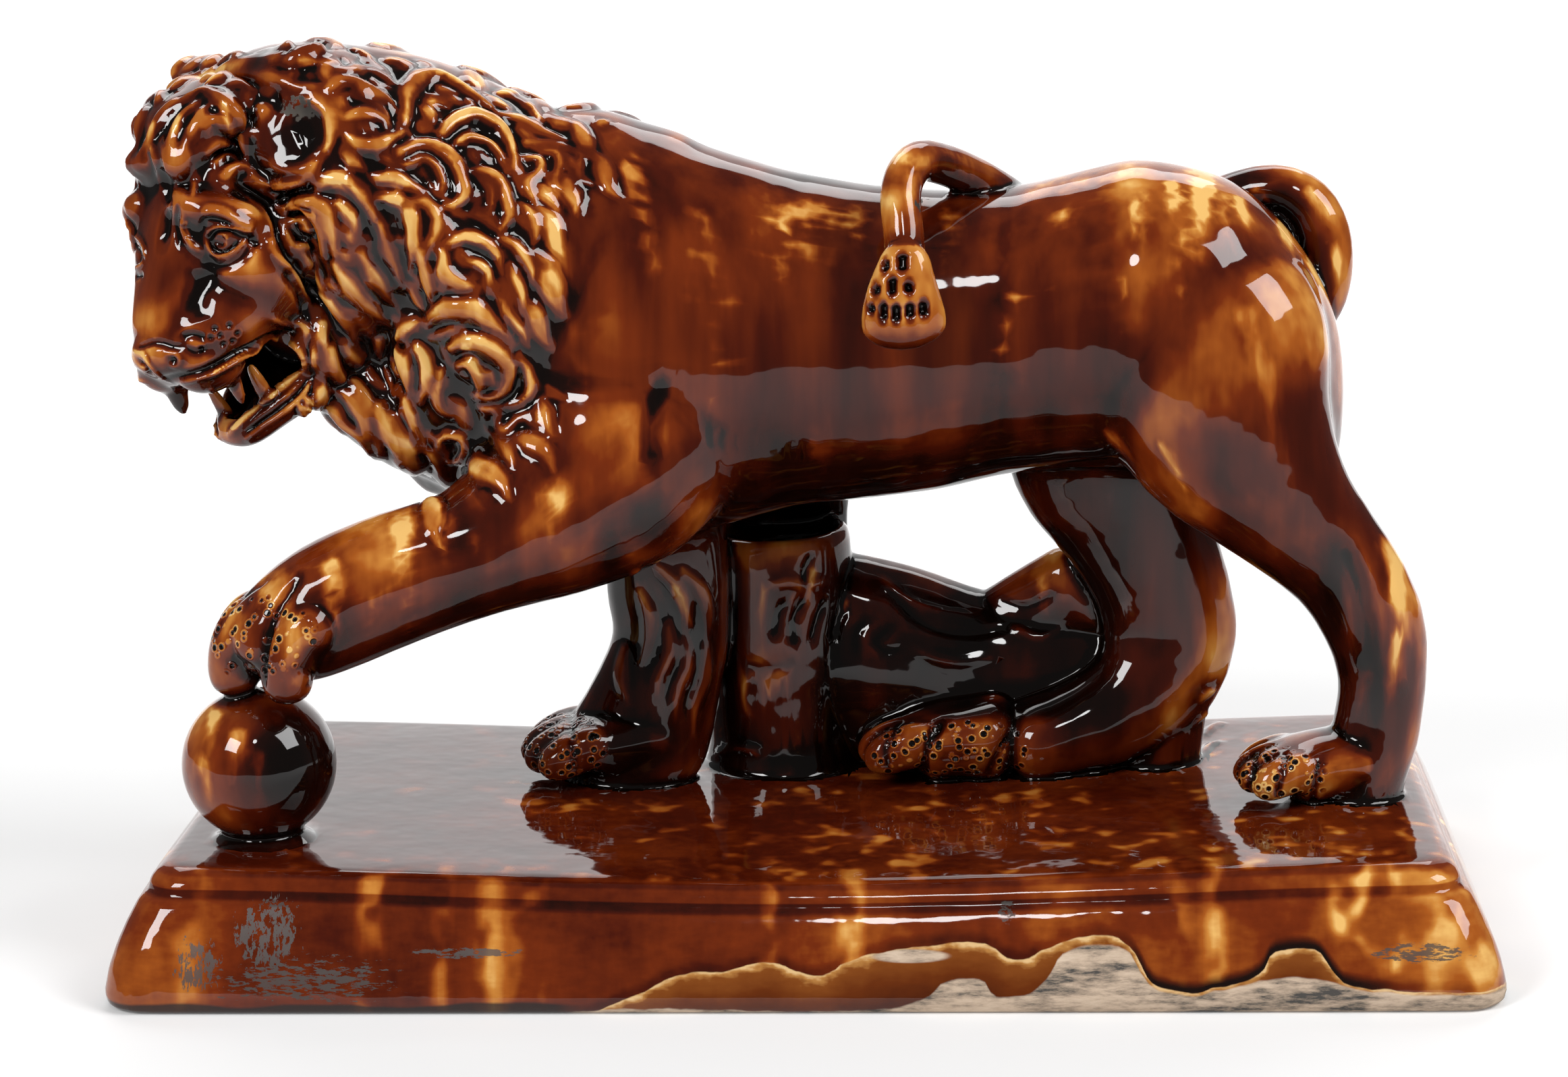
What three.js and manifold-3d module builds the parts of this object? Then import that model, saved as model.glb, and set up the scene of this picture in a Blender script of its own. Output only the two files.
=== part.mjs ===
// Glazed pottery lion with one forepaw on a ball, standing on an oblong moulded base.
// It is one fired piece: lion, ball, tree stump and base. Millimetres, +Z up, the origin at the
// middle of the base's underside. The lion walks toward -X and turns its head toward -Y.

import * as THREE from 'three';
import { ParametricGeometry } from 'three/addons/geometries/ParametricGeometry.js';
import { mergeVertices } from 'three/addons/utils/BufferGeometryUtils.js';
import Module from 'manifold-3d';

const wasm = await Module();
wasm.setup();

// Driving dimensions
const figureHeight = 207; // from the base's top to the crest of the mane
const baseHeight = 35; // at the two ends, where the slab hasn't sagged
const baseEndMargin = 18; // from the stance to each end of the base
const baseSideMargin = 47.5; // from the stance to the front and to the back of the base
const baseSag = 4.5; // how far the slab's top sank between its ends in the firing
const mouldingSlope = 17.5; // how far the base spreads from its top edge to its widest
const mouldingFoot = 4; // height of the widest line above the table
const footRound = 1.9; // how far the bottom edge draws in below the widest line
const grooveDepth = 0.9;
const ballRadius = 20.2;
const stumpRadius = 21;
const stumpHeight = 66;
const logRadius = 19;
const tailThickness = 5.6;
const pawSink = 2; // how deep the paws, ball and stump run into the slab

// The figure is drawn in its own grid of 207 units from the slab to the crest of the mane.
const GRID = 207;
const unit = figureHeight / GRID;
const STANCE_LENGTH = 320; // from the ball's front to the near hind heel
const STANCE_WIDTH = 83;
const baseLength = STANCE_LENGTH * unit + 2 * baseEndMargin;
const baseWidth = STANCE_WIDTH * unit + 2 * baseSideMargin;

const ACROSS = new THREE.Vector3(0, 1, 0);
const LENGTHWISE = new THREE.Vector3(1, 0, 0);
const UP = new THREE.Vector3(0, 0, 1);
const WELD = 1e-3;
const MIN_AREA = 1e-7;
const TOES = [-1.5, -0.5, 0.5, 1.5];

// Height of the sagged slab's top at a place along the base.
function slabTop(x) {
  const share = Math.min(Math.abs(2 * x) / baseLength, 1);
  return baseHeight - baseSag * Math.cos(share * Math.PI / 2) ** 2;
}

// A place in the figure's grid, as a point on the real object.
function at([x, y, z]) {
  return new THREE.Vector3(x * unit, y * unit, baseHeight + z * unit);
}

// Turns a closed geometry into a solid: one vertex per place, no empty triangles, faces outward.
function solid(geometry) {
  const bare = geometry.clone();
  bare.deleteAttribute('normal');
  bare.deleteAttribute('uv');
  const merged = mergeVertices(bare, WELD);
  const place = merged.getAttribute('position');
  const corner = (k) => new THREE.Vector3().fromBufferAttribute(place, merged.index.getX(k));
  const faces = [];
  let volume = 0;
  for (let k = 0; k < merged.index.count; k += 3) {
    const triangle = new THREE.Triangle(corner(k), corner(k + 1), corner(k + 2));
    if (triangle.getArea() < MIN_AREA) {
      continue;
    }
    volume += triangle.a.dot(triangle.b.clone().cross(triangle.c));
    faces.push([merged.index.getX(k), merged.index.getX(k + 1), merged.index.getX(k + 2)]);
  }
  const outward = volume > 0 ? faces : faces.map(([a, b, c]) => [a, c, b]);
  return new wasm.Manifold(new wasm.Mesh({
    numProp: 3,
    vertProperties: new Float32Array(place.array),
    triVerts: new Uint32Array(outward.flat()),
  }));
}

// The surface of a closed round form through stations. Each station is [x, y, z, side, rise, drop]:
// its middle, half its width toward `across`, and its reach to either side of that. The result
// gives the point at a share of the length and an angle round it, lifted off the surface. The
// share `cap` of the length at each end is rounded off. The rings stand square to the path, or
// to `facing` where that is given.
function skin(stations, { across = ACROSS, cap = 0.12, place = at, facing = null } = {}) {
  const path = new THREE.CatmullRomCurve3(stations.map((s) => place(s)), false, 'centripetal');
  const sizes = new THREE.CatmullRomCurve3(stations.map((s) => new THREE.Vector3(s[3], s[4], s[5])));
  return (share, angle, lift = 0) => {
    const end = Math.min(share, 1 - share) / cap;
    const round = end < 1 ? Math.sqrt(Math.max(0, 1 - (1 - end) ** 2)) : 1;
    const size = sizes.getPoint(share).multiplyScalar(unit * round).addScalar(lift);
    const along = facing ?? path.getTangent(share);
    const side = across.clone().addScaledVector(along, -across.dot(along)).normalize();
    const rise = along.clone().cross(side);
    const reach = Math.sin(angle) > 0 ? size.y : size.z;
    return path.getPoint(share).addScaledVector(side, size.x * Math.cos(angle))
      .addScaledVector(rise, reach * Math.sin(angle));
  };
}

// A solid with such a skin, its rings closer together toward the two ends.
function loft(stations, { rings = 10, sides = 10, ...options } = {}) {
  const surface = skin(stations, options);
  const crowding = 0.55;
  return solid(new ParametricGeometry((u, v, target) => {
    const share = v - crowding * Math.sin(2 * Math.PI * v) / (2 * Math.PI);
    target.copy(surface(share, 2 * Math.PI * (u % 1)));
  }, sides, rings));
}

// An egg: a sphere with three half sizes, in a frame of its own.
function egg(middle, [a, b, c], frame = new THREE.Matrix4(), sides = 8) {
  const shape = new THREE.SphereGeometry(1, sides, Math.round(sides * 2 / 3));
  shape.scale(a * unit, b * unit, c * unit);
  shape.applyMatrix4(frame);
  shape.translate(middle.x, middle.y, middle.z);
  return solid(shape);
}

const join = (parts) => wasm.Manifold.union(parts);

// Base: a long extrusion gives the front and back moulding, a crosswise one cuts the two ends.
function mouldingProfile(halfWidth, height) {
  const side = [
    [halfWidth - footRound, 0],
    [halfWidth - footRound * 0.25, mouldingFoot * 0.3],
    [halfWidth, mouldingFoot],
    [halfWidth - mouldingSlope * 0.18, height * 0.42],
    [halfWidth - mouldingSlope * 0.42, height * 0.66],
    [halfWidth - mouldingSlope * 0.55, height * 0.74],
    [halfWidth - mouldingSlope * 0.55 - grooveDepth, height * 0.78],
    [halfWidth - mouldingSlope * 0.72, height * 0.88],
    [halfWidth - mouldingSlope * 0.8 - grooveDepth, height * 0.91],
    [halfWidth - mouldingSlope, height],
  ];
  const mirrored = side.map(([x, z]) => [-x, z]).reverse();
  return new THREE.Shape([...side, ...mirrored].map(([x, z]) => new THREE.Vector2(x, z)));
}

function base() {
  const spans = 9;
  const sagged = new THREE.ExtrudeGeometry(mouldingProfile(baseWidth / 2, baseHeight),
    { depth: baseLength, steps: spans, bevelEnabled: false });
  sagged.translate(0, 0, -baseLength / 2);
  sagged.rotateX(Math.PI / 2);
  sagged.rotateZ(Math.PI / 2);
  const places = sagged.getAttribute('position');
  for (let k = 0; k < places.count; k += 1) {
    places.setZ(k, places.getZ(k) * slabTop(places.getX(k)) / baseHeight);
  }
  const ends = new THREE.ExtrudeGeometry(mouldingProfile(baseLength / 2, baseHeight),
    { depth: baseWidth, bevelEnabled: false });
  ends.translate(0, 0, -baseWidth / 2);
  ends.rotateX(Math.PI / 2);
  return solid(sagged).intersect(solid(ends));
}

// The head has a frame of its own: forward from the brow, far to the lion's right, and up.
const headTurn = THREE.MathUtils.degToRad(48);
const headPitch = THREE.MathUtils.degToRad(20);
const headTilt = THREE.MathUtils.degToRad(-6.5);
const HEAD = [-143, -14, 156.5];
const headForward = new THREE.Vector3(-Math.cos(headTurn) * Math.cos(headPitch),
  -Math.sin(headTurn) * Math.cos(headPitch), -Math.sin(headPitch));
const headLevel = new THREE.Vector3(-Math.sin(headTurn), Math.cos(headTurn), 0);
const headRise = headLevel.clone().cross(headForward);
const headFar = headLevel.clone().multiplyScalar(Math.cos(headTilt))
  .addScaledVector(headRise, Math.sin(headTilt));
const headUp = headFar.clone().cross(headForward);
const headFrame = new THREE.Matrix4().makeBasis(headForward, headFar, headUp);

function onHead([forward, far, up]) {
  return at(HEAD).addScaledVector(headForward, forward * unit).addScaledVector(headFar, far * unit)
    .addScaledVector(headUp, up * unit);
}

const headEgg = (middle, sizes, sides) => egg(onHead(middle), sizes, headFrame, sides);
const headLoft = (stations, options) => loft(stations, { across: headFar, place: onHead, ...options });
const bothSides = (make) => [-1, 1].map(make);

function head() {
  const skull = headEgg([-4, 0, 5], [23, 25, 25], 10);
  const bridge = headLoft([
    [4, 0, 22, 18, 9, 12],
    [17, 0, 11, 19, 8, 10],
    [27, 0, -2, 15, 6, 9],
    [36, 0, -10, 10.5, 5, 7],
    [41.5, 0, -15, 7.5, 4, 5],
  ], { rings: 5, sides: 8, cap: 0.12 });
  const muzzle = headLoft([
    [2, 0, -11, 25, 16, 18],
    [16, 0, -12, 24.5, 16, 16],
    [28, 0, -15.5, 21, 13.5, 13.5],
    [37, 0, -20, 15.5, 8.5, 11],
    [43.5, 0, -22, 10.5, 5, 7.5],
  ], { rings: 6, sides: 10, cap: 0.1 });
  const cheeks = bothSides((s) => headEgg([13, s * 19.5, -5], [15, 9, 14]));
  const brows = bothSides((s) => headEgg([16, s * 14.5, 13], [7, 9.5, 4]));
  const eyes = bothSides((s) => headEgg([17, s * 18.5, 5.5], [5.4, 5.4, 4.8]));
  const nose = headEgg([42.5, 0, -16.5], [4.6, 9, 5.6]);
  const whiskerPads = bothSides((s) => headEgg([34, s * 7.5, -23.5], [10, 8.5, 8]));
  const jaw = headLoft([
    [0, 0, -37, 18, 7, 8],
    [12, 0, -42, 17, 4, 9],
    [22, 0, -45.5, 14, 4, 7.5],
    [30.5, 0, -47, 8.5, 3, 5.5],
  ], { rings: 5, sides: 8, cap: 0.2 });
  const jowls = bothSides((s) => headEgg([3, s * 17.5, -31], [10, 5.5, 10]));
  const tooth = (root, tip, wide) => headLoft([
    [...root, wide, wide, wide],
    [...root.map((v, i) => (v + tip[i]) / 2), 0.8 * wide, 0.8 * wide, 0.8 * wide],
    [...tip, 0.4 * wide, 0.4 * wide, 0.4 * wide],
  ], { rings: 2, sides: 5, cap: 0.15 });
  const teeth = [
    tooth([35.5, 8.5, -26], [36.5, 8.5, -37], 4),
    tooth([29.5, -9.5, -26], [30, -9.5, -37.5], 2.8),
    tooth([25.5, 7, -43], [27.5, 7, -32.5], 2.6),
    tooth([22, -9, -40], [23, -9, -28], 2.8),
  ];
  const ears = bothSides((s) => {
    const shell = headEgg([-11, s * 25, 20], [10, 8, 10.5]);
    const cup = headEgg([-6, s * 32, 21], [6.5, 7.5, 7]);
    return shell.subtract(cup);
  });
  const forelocks = bothSides((s) => [0, 1, 2].map((k) => headLoft([
    [15 - k * 1.5, s * (2 + 7 * k), 20 - k * 2, 2.6, 2.6, 2.6],
    [15.5 - k * 3, s * (5 + 7 * k), 26 - k * 1.5, 4, 3.6, 3.6],
    [9 - k * 3.5, s * (7 + 7.5 * k), 31 - k * 2.5, 4.6, 4, 4],
    [-1 - k * 3, s * (6 + 8 * k), 33 - k * 3, 4, 4, 4],
  ], { rings: 3, sides: 5, cap: 0.15 }))).flat();
  return join([skull, bridge, muzzle, ...cheeks, ...brows, ...eyes, nose, ...whiskerPads, jaw,
    ...jowls, ...teeth, ...ears, ...forelocks]);
}

function trunk() {
  return loft([
    [-108, -2, 122, 28, 42, 30],
    [-84, 2, 122, 36, 54, 46],
    [-58, 5, 122, 38.5, 63, 58],
    [-30, 7, 120, 37.5, 55, 51],
    [0, 8, 120, 35.5, 45.5, 43.5],
    [30, 8, 120, 34, 41, 41],
    [58, 8, 121, 33.5, 40, 36],
    [84, 7, 122, 36, 46, 36],
    [100, 7, 121, 36, 45.5, 38],
    [114, 7, 118, 34, 44, 38],
    [125, 7, 115, 29, 38, 38],
    [134, 7, 112, 22, 29.5, 36],
    [140, 7, 110, 14, 19, 28],
    [143.5, 7, 107, 5, 8, 12],
  ], { rings: 15, sides: 16, cap: 0.02, facing: LENGTHWISE });
}

function nearHindLeg() {
  const leg = loft([
    [98, -2, 138, 22, 30, 30],
    [106, -10, 118, 23, 33, 33],
    [115, -14, 97, 19, 26, 29],
    [128, -15, 78, 14.5, 18, 19],
    [141.5, -13, 62, 12.5, 15, 14.5],
    [150.5, -12, 47, 11.5, 13.5, 14.5],
    [152.5, -11, 32, 10.5, 12, 12],
    [151, -11, 17, 11, 12, 12],
    [149, -12, 4, 12, 10, 13],
    [149, -12, -6, 12, 9, 13],
  ], { rings: 12, sides: 10, cap: 0.05 });
  return join([leg, paw([134, -13, 5], [-1, -0.12], 1)]);
}

function farHindLeg() {
  const leg = loft([
    [94, 22, 128, 16, 28, 28],
    [85, 26, 104, 17, 27, 33],
    [83, 27, 82, 15, 27, 29],
    [88, 27, 64, 13, 23, 20],
    [95, 27, 48, 12, 20, 18],
    [98, 27, 33, 12, 19, 19],
    [90, 27, 18, 12, 17, 16],
    [70, 26, 9, 12, 13, 13],
    [50, 25, 5, 12, 12, 11],
  ], { rings: 12, sides: 10, cap: 0.06 });
  const heelStub = loft([
    [103, 32, -6, 11, 8, 8],
    [103, 32, 22, 10, 7, 7],
  ], { rings: 4, sides: 8, cap: 0.2 });
  return join([leg, heelStub, paw([38, 24, 3], [-1, 0.1], 1.15)]);
}

function standingForeleg() {
  const leg = loft([
    [-50, 20, 92, 18, 30, 28],
    [-42, 23, 68, 14, 20, 17],
    [-39, 23, 50, 12, 17, 15],
    [-40, 23, 34, 12, 17, 16],
    [-46, 22, 18, 13, 20, 19],
    [-50, 21, 3, 14, 20, 22],
    [-50, 21, -7, 14, 18, 20],
  ], { rings: 9, sides: 10, cap: 0.06 });
  return join([leg, paw([-61, 19, 5], [-1, -0.25], 1.15)]);
}

function raisedForeleg() {
  const leg = loft([
    [-44, -6, 116, 22, 34, 30],
    [-52, -16, 96, 24, 34, 36],
    [-66, -28, 83.5, 20, 26, 25],
    [-84, -37, 74, 16.5, 18, 17.5],
    [-102, -43, 68.5, 15.5, 17.5, 18],
    [-117, -46, 63, 15.5, 17.5, 18],
    [-130, -47, 56.5, 16, 16, 17],
    [-140, -48, 51, 15, 13, 14],
    [-149, -48.5, 45.5, 13, 9, 8],
  ], { rings: 11, sides: 10, cap: 0.06 });
  const toes = TOES.map((k) => loft([
    [-134, -48 + k * 7.4, 60 - Math.abs(k) * 2, 5, 5, 5],
    [-145, -48.5 + k * 8, 55 - Math.abs(k) * 2, 5.4, 5.4, 5.4],
    [-151, -49 + k * 8, 46 - Math.abs(k), 4.8, 4.8, 4.8],
    [-149.5, -49 + k * 8, 38, 3.4, 3.4, 3.4],
  ], { rings: 5, sides: 6, cap: 0.18 }));
  return join([leg, ...toes]);
}

// A paw flat on the slab: four toes side by side, pointing along `heading`, behind one pad.
function paw([x, y, z], heading, size) {
  const ahead = new THREE.Vector3(heading[0], heading[1], 0).normalize();
  const beside = UP.clone().cross(ahead);
  const spot = (forward, sideways, height, wide, rise, drop) => {
    const shift = ahead.clone().multiplyScalar(forward * size).addScaledVector(beside, sideways * size);
    return [x + shift.x, y + shift.y, z + height * size, wide * size, rise * size, drop * size];
  };
  const pad = loft([spot(-18, 0, 2, 11, 9, 9), spot(-4, 0, 3, 13, 10, 9), spot(8, 0, 1, 13, 8, 9)],
    { across: beside, rings: 4, sides: 8, cap: 0.25 });
  const toes = TOES.map((k) => {
    const reach = 3 - Math.abs(k) * 2.4;
    return loft([
      spot(0, k * 6.6, 5, 4.6, 5, 6),
      spot(9 + reach, k * 7, 4, 4.6, 5.2, 6),
      spot(19 + reach, k * 7.2, -0.5, 4, 4, 5),
    ], { across: beside, rings: 4, sides: 6, cap: 0.25 });
  });
  return join([pad, ...toes]);
}

function ball() {
  const x = -141.6 * unit;
  const y = -46.5 * unit;
  const globe = new THREE.SphereGeometry(ballRadius, 18, 12);
  globe.translate(x, y, slabTop(x) + ballRadius);
  const collar = new THREE.CylinderGeometry(ballRadius * 0.5, ballRadius * 0.66, 2 * pawSink, 14);
  collar.rotateX(Math.PI / 2);
  collar.translate(x, y, slabTop(x));
  return join([solid(globe), solid(collar)]);
}

function stump() {
  const x = -7.5 * unit;
  const y = 42 * unit;
  const profile = [
    [0, 0], [1.2, 0], [1.04, 0.09], [0.94, 0.4], [0.98, 0.85], [1.04, 0.95], [1, 1], [0.86, 0.96], [0, 0.95],
  ];
  const bole = new THREE.LatheGeometry(
    profile.map(([r, h]) => new THREE.Vector2(r * stumpRadius, h * stumpHeight)), 16);
  bole.rotateX(Math.PI / 2);
  bole.translate(x, y, slabTop(x) - pawSink);
  const core = loft([
    [-7, 47, 50, 15, 18, 18],
    [-5, 36, 92, 15, 18, 18],
  ], { rings: 4, sides: 10, cap: 0.1 });
  return join([solid(bole), core]);
}

function fallenLog() {
  const low = logRadius / unit;
  const log = loft([
    [-4, 44, 26, low * 0.9, low * 1.65, low * 1.7],
    [22, 43, 21, low * 0.95, low * 1.6, low * 1.5],
    [48, 42, 18, low * 0.9, low * 1.35, low * 1.3],
    [76, 40, 19, low * 0.8, low * 1.3, low * 1.2],
    [100, 38, 16, low * 0.6, low, low],
  ], { rings: 10, sides: 12, cap: 0.08 });
  const branch = loft([
    [46, 40, 34, 7, 9, 9],
    [60, 37, 45, 7, 8, 8],
    [76, 34, 56, 7, 8, 8],
  ], { rings: 6, sides: 8, cap: 0.2 });
  return join([log, branch]);
}

function tail() {
  const thick = tailThickness / unit;
  const taper = (share) => thick * (1.3 - 0.5 * share);
  const route = [
    [126, 16, 116], [137, 20, 128], [139.5, 23, 142], [135, 25, 153], [125, 28, 157], [110, 32, 153],
    [94, 36, 146], [76, 35, 145], [61, 26, 152], [49, 11, 161.5], [39, -2, 168], [31.5, -14, 170.5],
    [27.5, -23, 165], [28, -29, 155], [29, -33, 145],
  ];
  const stations = route.map((p, k) => {
    const r = taper(k / (route.length - 1));
    return [...p, r, r, r];
  });
  const cord = loft(stations,
    { across: new THREE.Vector3(0.62, -0.5, 0.6).normalize(), rings: 24, sides: 7, cap: 0.03 });
  const tuft = loft([
    [29.5, -33, 154, 5, 4, 4],
    [28, -35.5, 143, 8.5, 4.5, 4.5],
    [27, -37, 133.5, 10, 5, 5],
    [28.5, -37, 126, 7, 4, 4],
  ], { across: LENGTHWISE, rings: 8, sides: 10, cap: 0.2 });
  return join([cord, tuft]);
}

// The mane: one full mass behind the face, cut off along the face's plane, with rows of curling
// locks that lie on it and sweep back.
const MANE = [
  [-170, -8, 158, 14, 18, 12],
  [-161, -8, 154, 26, 35, 26],
  [-150, -7, 149, 34, 50, 32],
  [-136, -6, 146, 40, 57.5, 35],
  [-120, -4, 143, 44, 60, 46],
  [-103, 0, 140, 45, 60, 60],
  [-86, 3, 137, 45, 57, 54],
  [-70, 5, 135, 42, 51, 46],
  [-56, 6, 135, 38, 46.5, 34],
  [-42, 7, 136, 30, 44, 20],
  [-22, 7, 138, 14, 36, 10],
];

function mane() {
  const mass = loft(MANE, { rings: 12, sides: 16, cap: 0.03, facing: LENGTHWISE });
  const room = 90 * unit;
  const edge = -3 * unit;
  const chin = -41 * unit;
  const crest = 63 * unit;
  const front = new THREE.BoxGeometry(room, 2 * room, crest - chin);
  front.translate(edge + room / 2, 0, (crest + chin) / 2);
  front.applyMatrix4(headFrame);
  front.translate(...at(HEAD).toArray());
  return join([mass.subtract(solid(front)), ...maneLocks()]);
}

function maneLocks() {
  const surface = skin(MANE, { cap: 0.03, facing: LENGTHWISE });
  const locks = [];
  const rows = 5;
  const around = 8;
  for (let row = 0; row < rows; row += 1) {
    for (let k = 0; k < around; k += 1) {
      const angle = -0.85 + 4.85 * (k + 0.5 * (row % 2)) / (around - 0.5);
      const start = 0.17 + 0.125 * row;
      const curl = (k + row) % 3 === 0 ? 0.26 : -0.24;
      const stretch = 0.15 + 0.02 * ((k * 2 + row) % 3);
      const spot = (along, turn, lift, wide) => {
        const p = surface(start + along * stretch, angle + turn * curl, lift * unit);
        return [p.x, p.y, p.z, wide, wide, wide];
      };
      locks.push(loft([
        spot(0, -0.1, -3.6, 6), spot(0.3, 0.35, -2.2, 7.4), spot(0.65, 0.9, -2, 7),
        spot(0.95, 0.95, -2.4, 4.5), spot(1.1, 0.55, -2.6, 2),
      ], { rings: 3, sides: 5, cap: 0.2, place: ([x, y, z]) => new THREE.Vector3(x, y, z) }));
    }
  }
  return locks;
}

const lion = join([
  base(), trunk(), nearHindLeg(), farHindLeg(), standingForeleg(), raisedForeleg(),
  ball(), stump(), fallenLog(), tail(), mane(), head(),
]);

function meshOf(form, name, material) {
  const { vertProperties, triVerts } = form.getMesh();
  const geometry = new THREE.BufferGeometry();
  geometry.setAttribute('position', new THREE.BufferAttribute(vertProperties, 3));
  geometry.setIndex(new THREE.BufferAttribute(triVerts, 1));
  geometry.computeVertexNormals();
  const mesh = new THREE.Mesh(geometry, material);
  mesh.name = name;
  return mesh;
}

const treacleGlaze = new THREE.MeshStandardMaterial({ color: 0x4a1a08, roughness: 0.12, metalness: 0 });
const part = new THREE.Group();
part.add(meshOf(lion, 'lion_on_base', treacleGlaze));
export default part;
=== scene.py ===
# Glazed pottery lion with one forepaw on a ball, on its oblong moulded base: one fired piece.
# The forms are drawn out ring by ring from circles, joined, grown together, and then carved.
import math

import bpy
import numpy as np
from mathutils import Matrix, Vector
from mathutils.bvhtree import BVHTree


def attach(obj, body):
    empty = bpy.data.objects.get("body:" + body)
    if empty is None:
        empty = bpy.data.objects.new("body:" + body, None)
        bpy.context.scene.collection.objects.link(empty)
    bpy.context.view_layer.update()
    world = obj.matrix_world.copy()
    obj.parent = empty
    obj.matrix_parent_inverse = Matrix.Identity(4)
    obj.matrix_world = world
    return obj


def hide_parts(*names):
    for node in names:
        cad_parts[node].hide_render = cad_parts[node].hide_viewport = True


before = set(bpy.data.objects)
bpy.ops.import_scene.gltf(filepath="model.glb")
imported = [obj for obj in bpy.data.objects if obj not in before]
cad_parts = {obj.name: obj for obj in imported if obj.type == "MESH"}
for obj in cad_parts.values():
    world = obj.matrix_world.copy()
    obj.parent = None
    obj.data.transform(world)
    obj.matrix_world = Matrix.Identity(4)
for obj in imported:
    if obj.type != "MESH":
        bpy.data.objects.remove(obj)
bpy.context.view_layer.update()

MM = 0.001
BASE_HEIGHT = 35.0
BASE_LENGTH = 356.0
BASE_WIDTH = 178.0
SAG = 4.5
CORNER = 11.0
BALL_RADIUS = 20.2
WORLD_Y = Vector((0, 1, 0))
WORLD_X = Vector((1, 0, 0))


# Modelling by operators

def fresh():
    """Leaves nothing selected, so that the next operator acts on the new primitive alone."""
    if bpy.context.object and bpy.context.object.mode != "OBJECT":
        bpy.ops.object.mode_set(mode="OBJECT")
    bpy.ops.object.select_all(action="DESELECT")


def only(piece):
    """Makes one piece the selected and active one."""
    fresh()
    piece.select_set(True)
    bpy.context.view_layer.objects.active = piece


def editing():
    """Opens the active piece for editing with all of it selected."""
    bpy.ops.object.mode_set(mode="EDIT")
    bpy.ops.mesh.select_all(action="SELECT")


def closed(inside=False):
    """Turns all the edited faces one way and leaves editing."""
    bpy.ops.mesh.select_all(action="SELECT")
    bpy.ops.mesh.normals_make_consistent(inside=inside)
    bpy.ops.object.mode_set(mode="OBJECT")


def apply_modifier(piece, kind, **settings):
    """Adds one modifier with its settings and applies it."""
    only(piece)
    modifier = piece.modifiers.new(kind.lower(), kind)
    for name, value in settings.items():
        setattr(modifier, name, value)
    bpy.ops.object.modifier_apply(modifier=modifier.name)


def join(pieces, name):
    """Joins pieces into one object."""
    fresh()
    for piece in pieces:
        piece.select_set(True)
    bpy.context.view_layer.objects.active = pieces[0]
    if len(pieces) > 1:
        bpy.ops.object.join()
    pieces[0].name = name
    return pieces[0]


class Clay:
    """A closed round form drawn out from one circle: each ring is extruded, sized, turned and moved."""

    def __init__(self, sides):
        fresh()
        bpy.ops.mesh.primitive_circle_add(vertices=sides, radius=1, fill_type="NGON", location=(0, 0, 0))
        self.piece = bpy.context.object
        editing()
        self.centre = Vector((0, 0, 0))
        self.turn = (0.0, 0.0, 0.0)
        self.half = (1.0, 1.0)

    def rotate(self, axis, angle):
        # Without a window the operator turns the other way round.
        if abs(angle) > 1e-6:
            bpy.ops.transform.rotate(value=-angle, orient_axis=axis, center_override=self.centre)

    def shape(self, centre, axes, half):
        """Sizes, turns and moves the live ring. Its axes are side, rise and along."""
        for axis, angle in zip("ZYX", reversed(self.turn)):
            self.rotate(axis, -angle)
        bpy.ops.transform.resize(value=(half[0] / self.half[0], half[1] / self.half[1], 1),
                                 center_override=self.centre)
        turn = Matrix(axes).transposed().to_euler("XYZ")
        for axis, angle in zip("XYZ", turn):
            self.rotate(axis, angle)
        bpy.ops.transform.translate(value=centre - self.centre)
        self.centre, self.turn, self.half = centre, tuple(turn), half

    def finish(self):
        closed()
        return self.piece


def through(stations, share):
    """A smooth curve through the stations, at a share of the way."""
    last = len(stations) - 1
    where = min(max(share, 0.0), 1.0) * last
    k = min(int(where), last - 1)
    t = where - k
    p1, p2 = stations[k], stations[k + 1]
    p0 = stations[k - 1] if k > 0 else 2 * p1 - p2
    p3 = stations[k + 2] if k + 2 <= last else 2 * p2 - p1
    return 0.5 * ((2 * p1) + (p2 - p0) * t + (2 * p0 - 5 * p1 + 4 * p2 - p3) * t ** 2
                  + (3 * p1 - p0 - 3 * p2 + p3) * t ** 3)


def at(x, y, z):
    """A place in the figure's own grid, millimetres above the base's top, as a point in metres."""
    return Vector((x, y, BASE_HEIGHT + z)) * MM


# How near a form's ends its rings begin, how much they crowd there, and the thinnest half size of a ring
TIP = 0.004
CROWDING = 0.55
THINNEST = 0.1 * MM


def limb(stations, rings=24, sides=24, across=WORLD_Y, cap=0.1, facing=None, place=at):
    """A closed round form through stations of [x, y, z, half side, rise, drop].

    The rings stand closer together towards the two ends, which are rounded over the share called cap.
    """
    table = np.array(stations, float)
    clay = Clay(sides)
    for k in range(rings + 1):
        even = TIP + (1 - 2 * TIP) * k / rings
        share = even - CROWDING * math.sin(2 * math.pi * even) / (2 * math.pi)
        end = min(share, 1 - share) / cap
        rounding = math.sqrt(max(0.0, 1 - (1 - end) ** 2)) if end < 1 else 1.0
        row = through(table, share)
        middle = place(*row[:3])
        ahead, behind = through(table, share + 0.01), through(table, share - 0.01)
        along = facing or (place(*ahead[:3]) - place(*behind[:3])).normalized()
        side = (across - along * across.dot(along)).normalized()
        rise = along.cross(side)
        up, down = row[4] * rounding * MM, row[5] * rounding * MM
        half = (max(row[3] * rounding * MM, THINNEST), max((up + down) / 2, THINNEST))
        if k:
            bpy.ops.mesh.extrude_region_move()
        clay.shape(middle + rise * (up - down) / 2, (side, rise, along), half)
    return clay.finish()


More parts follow.
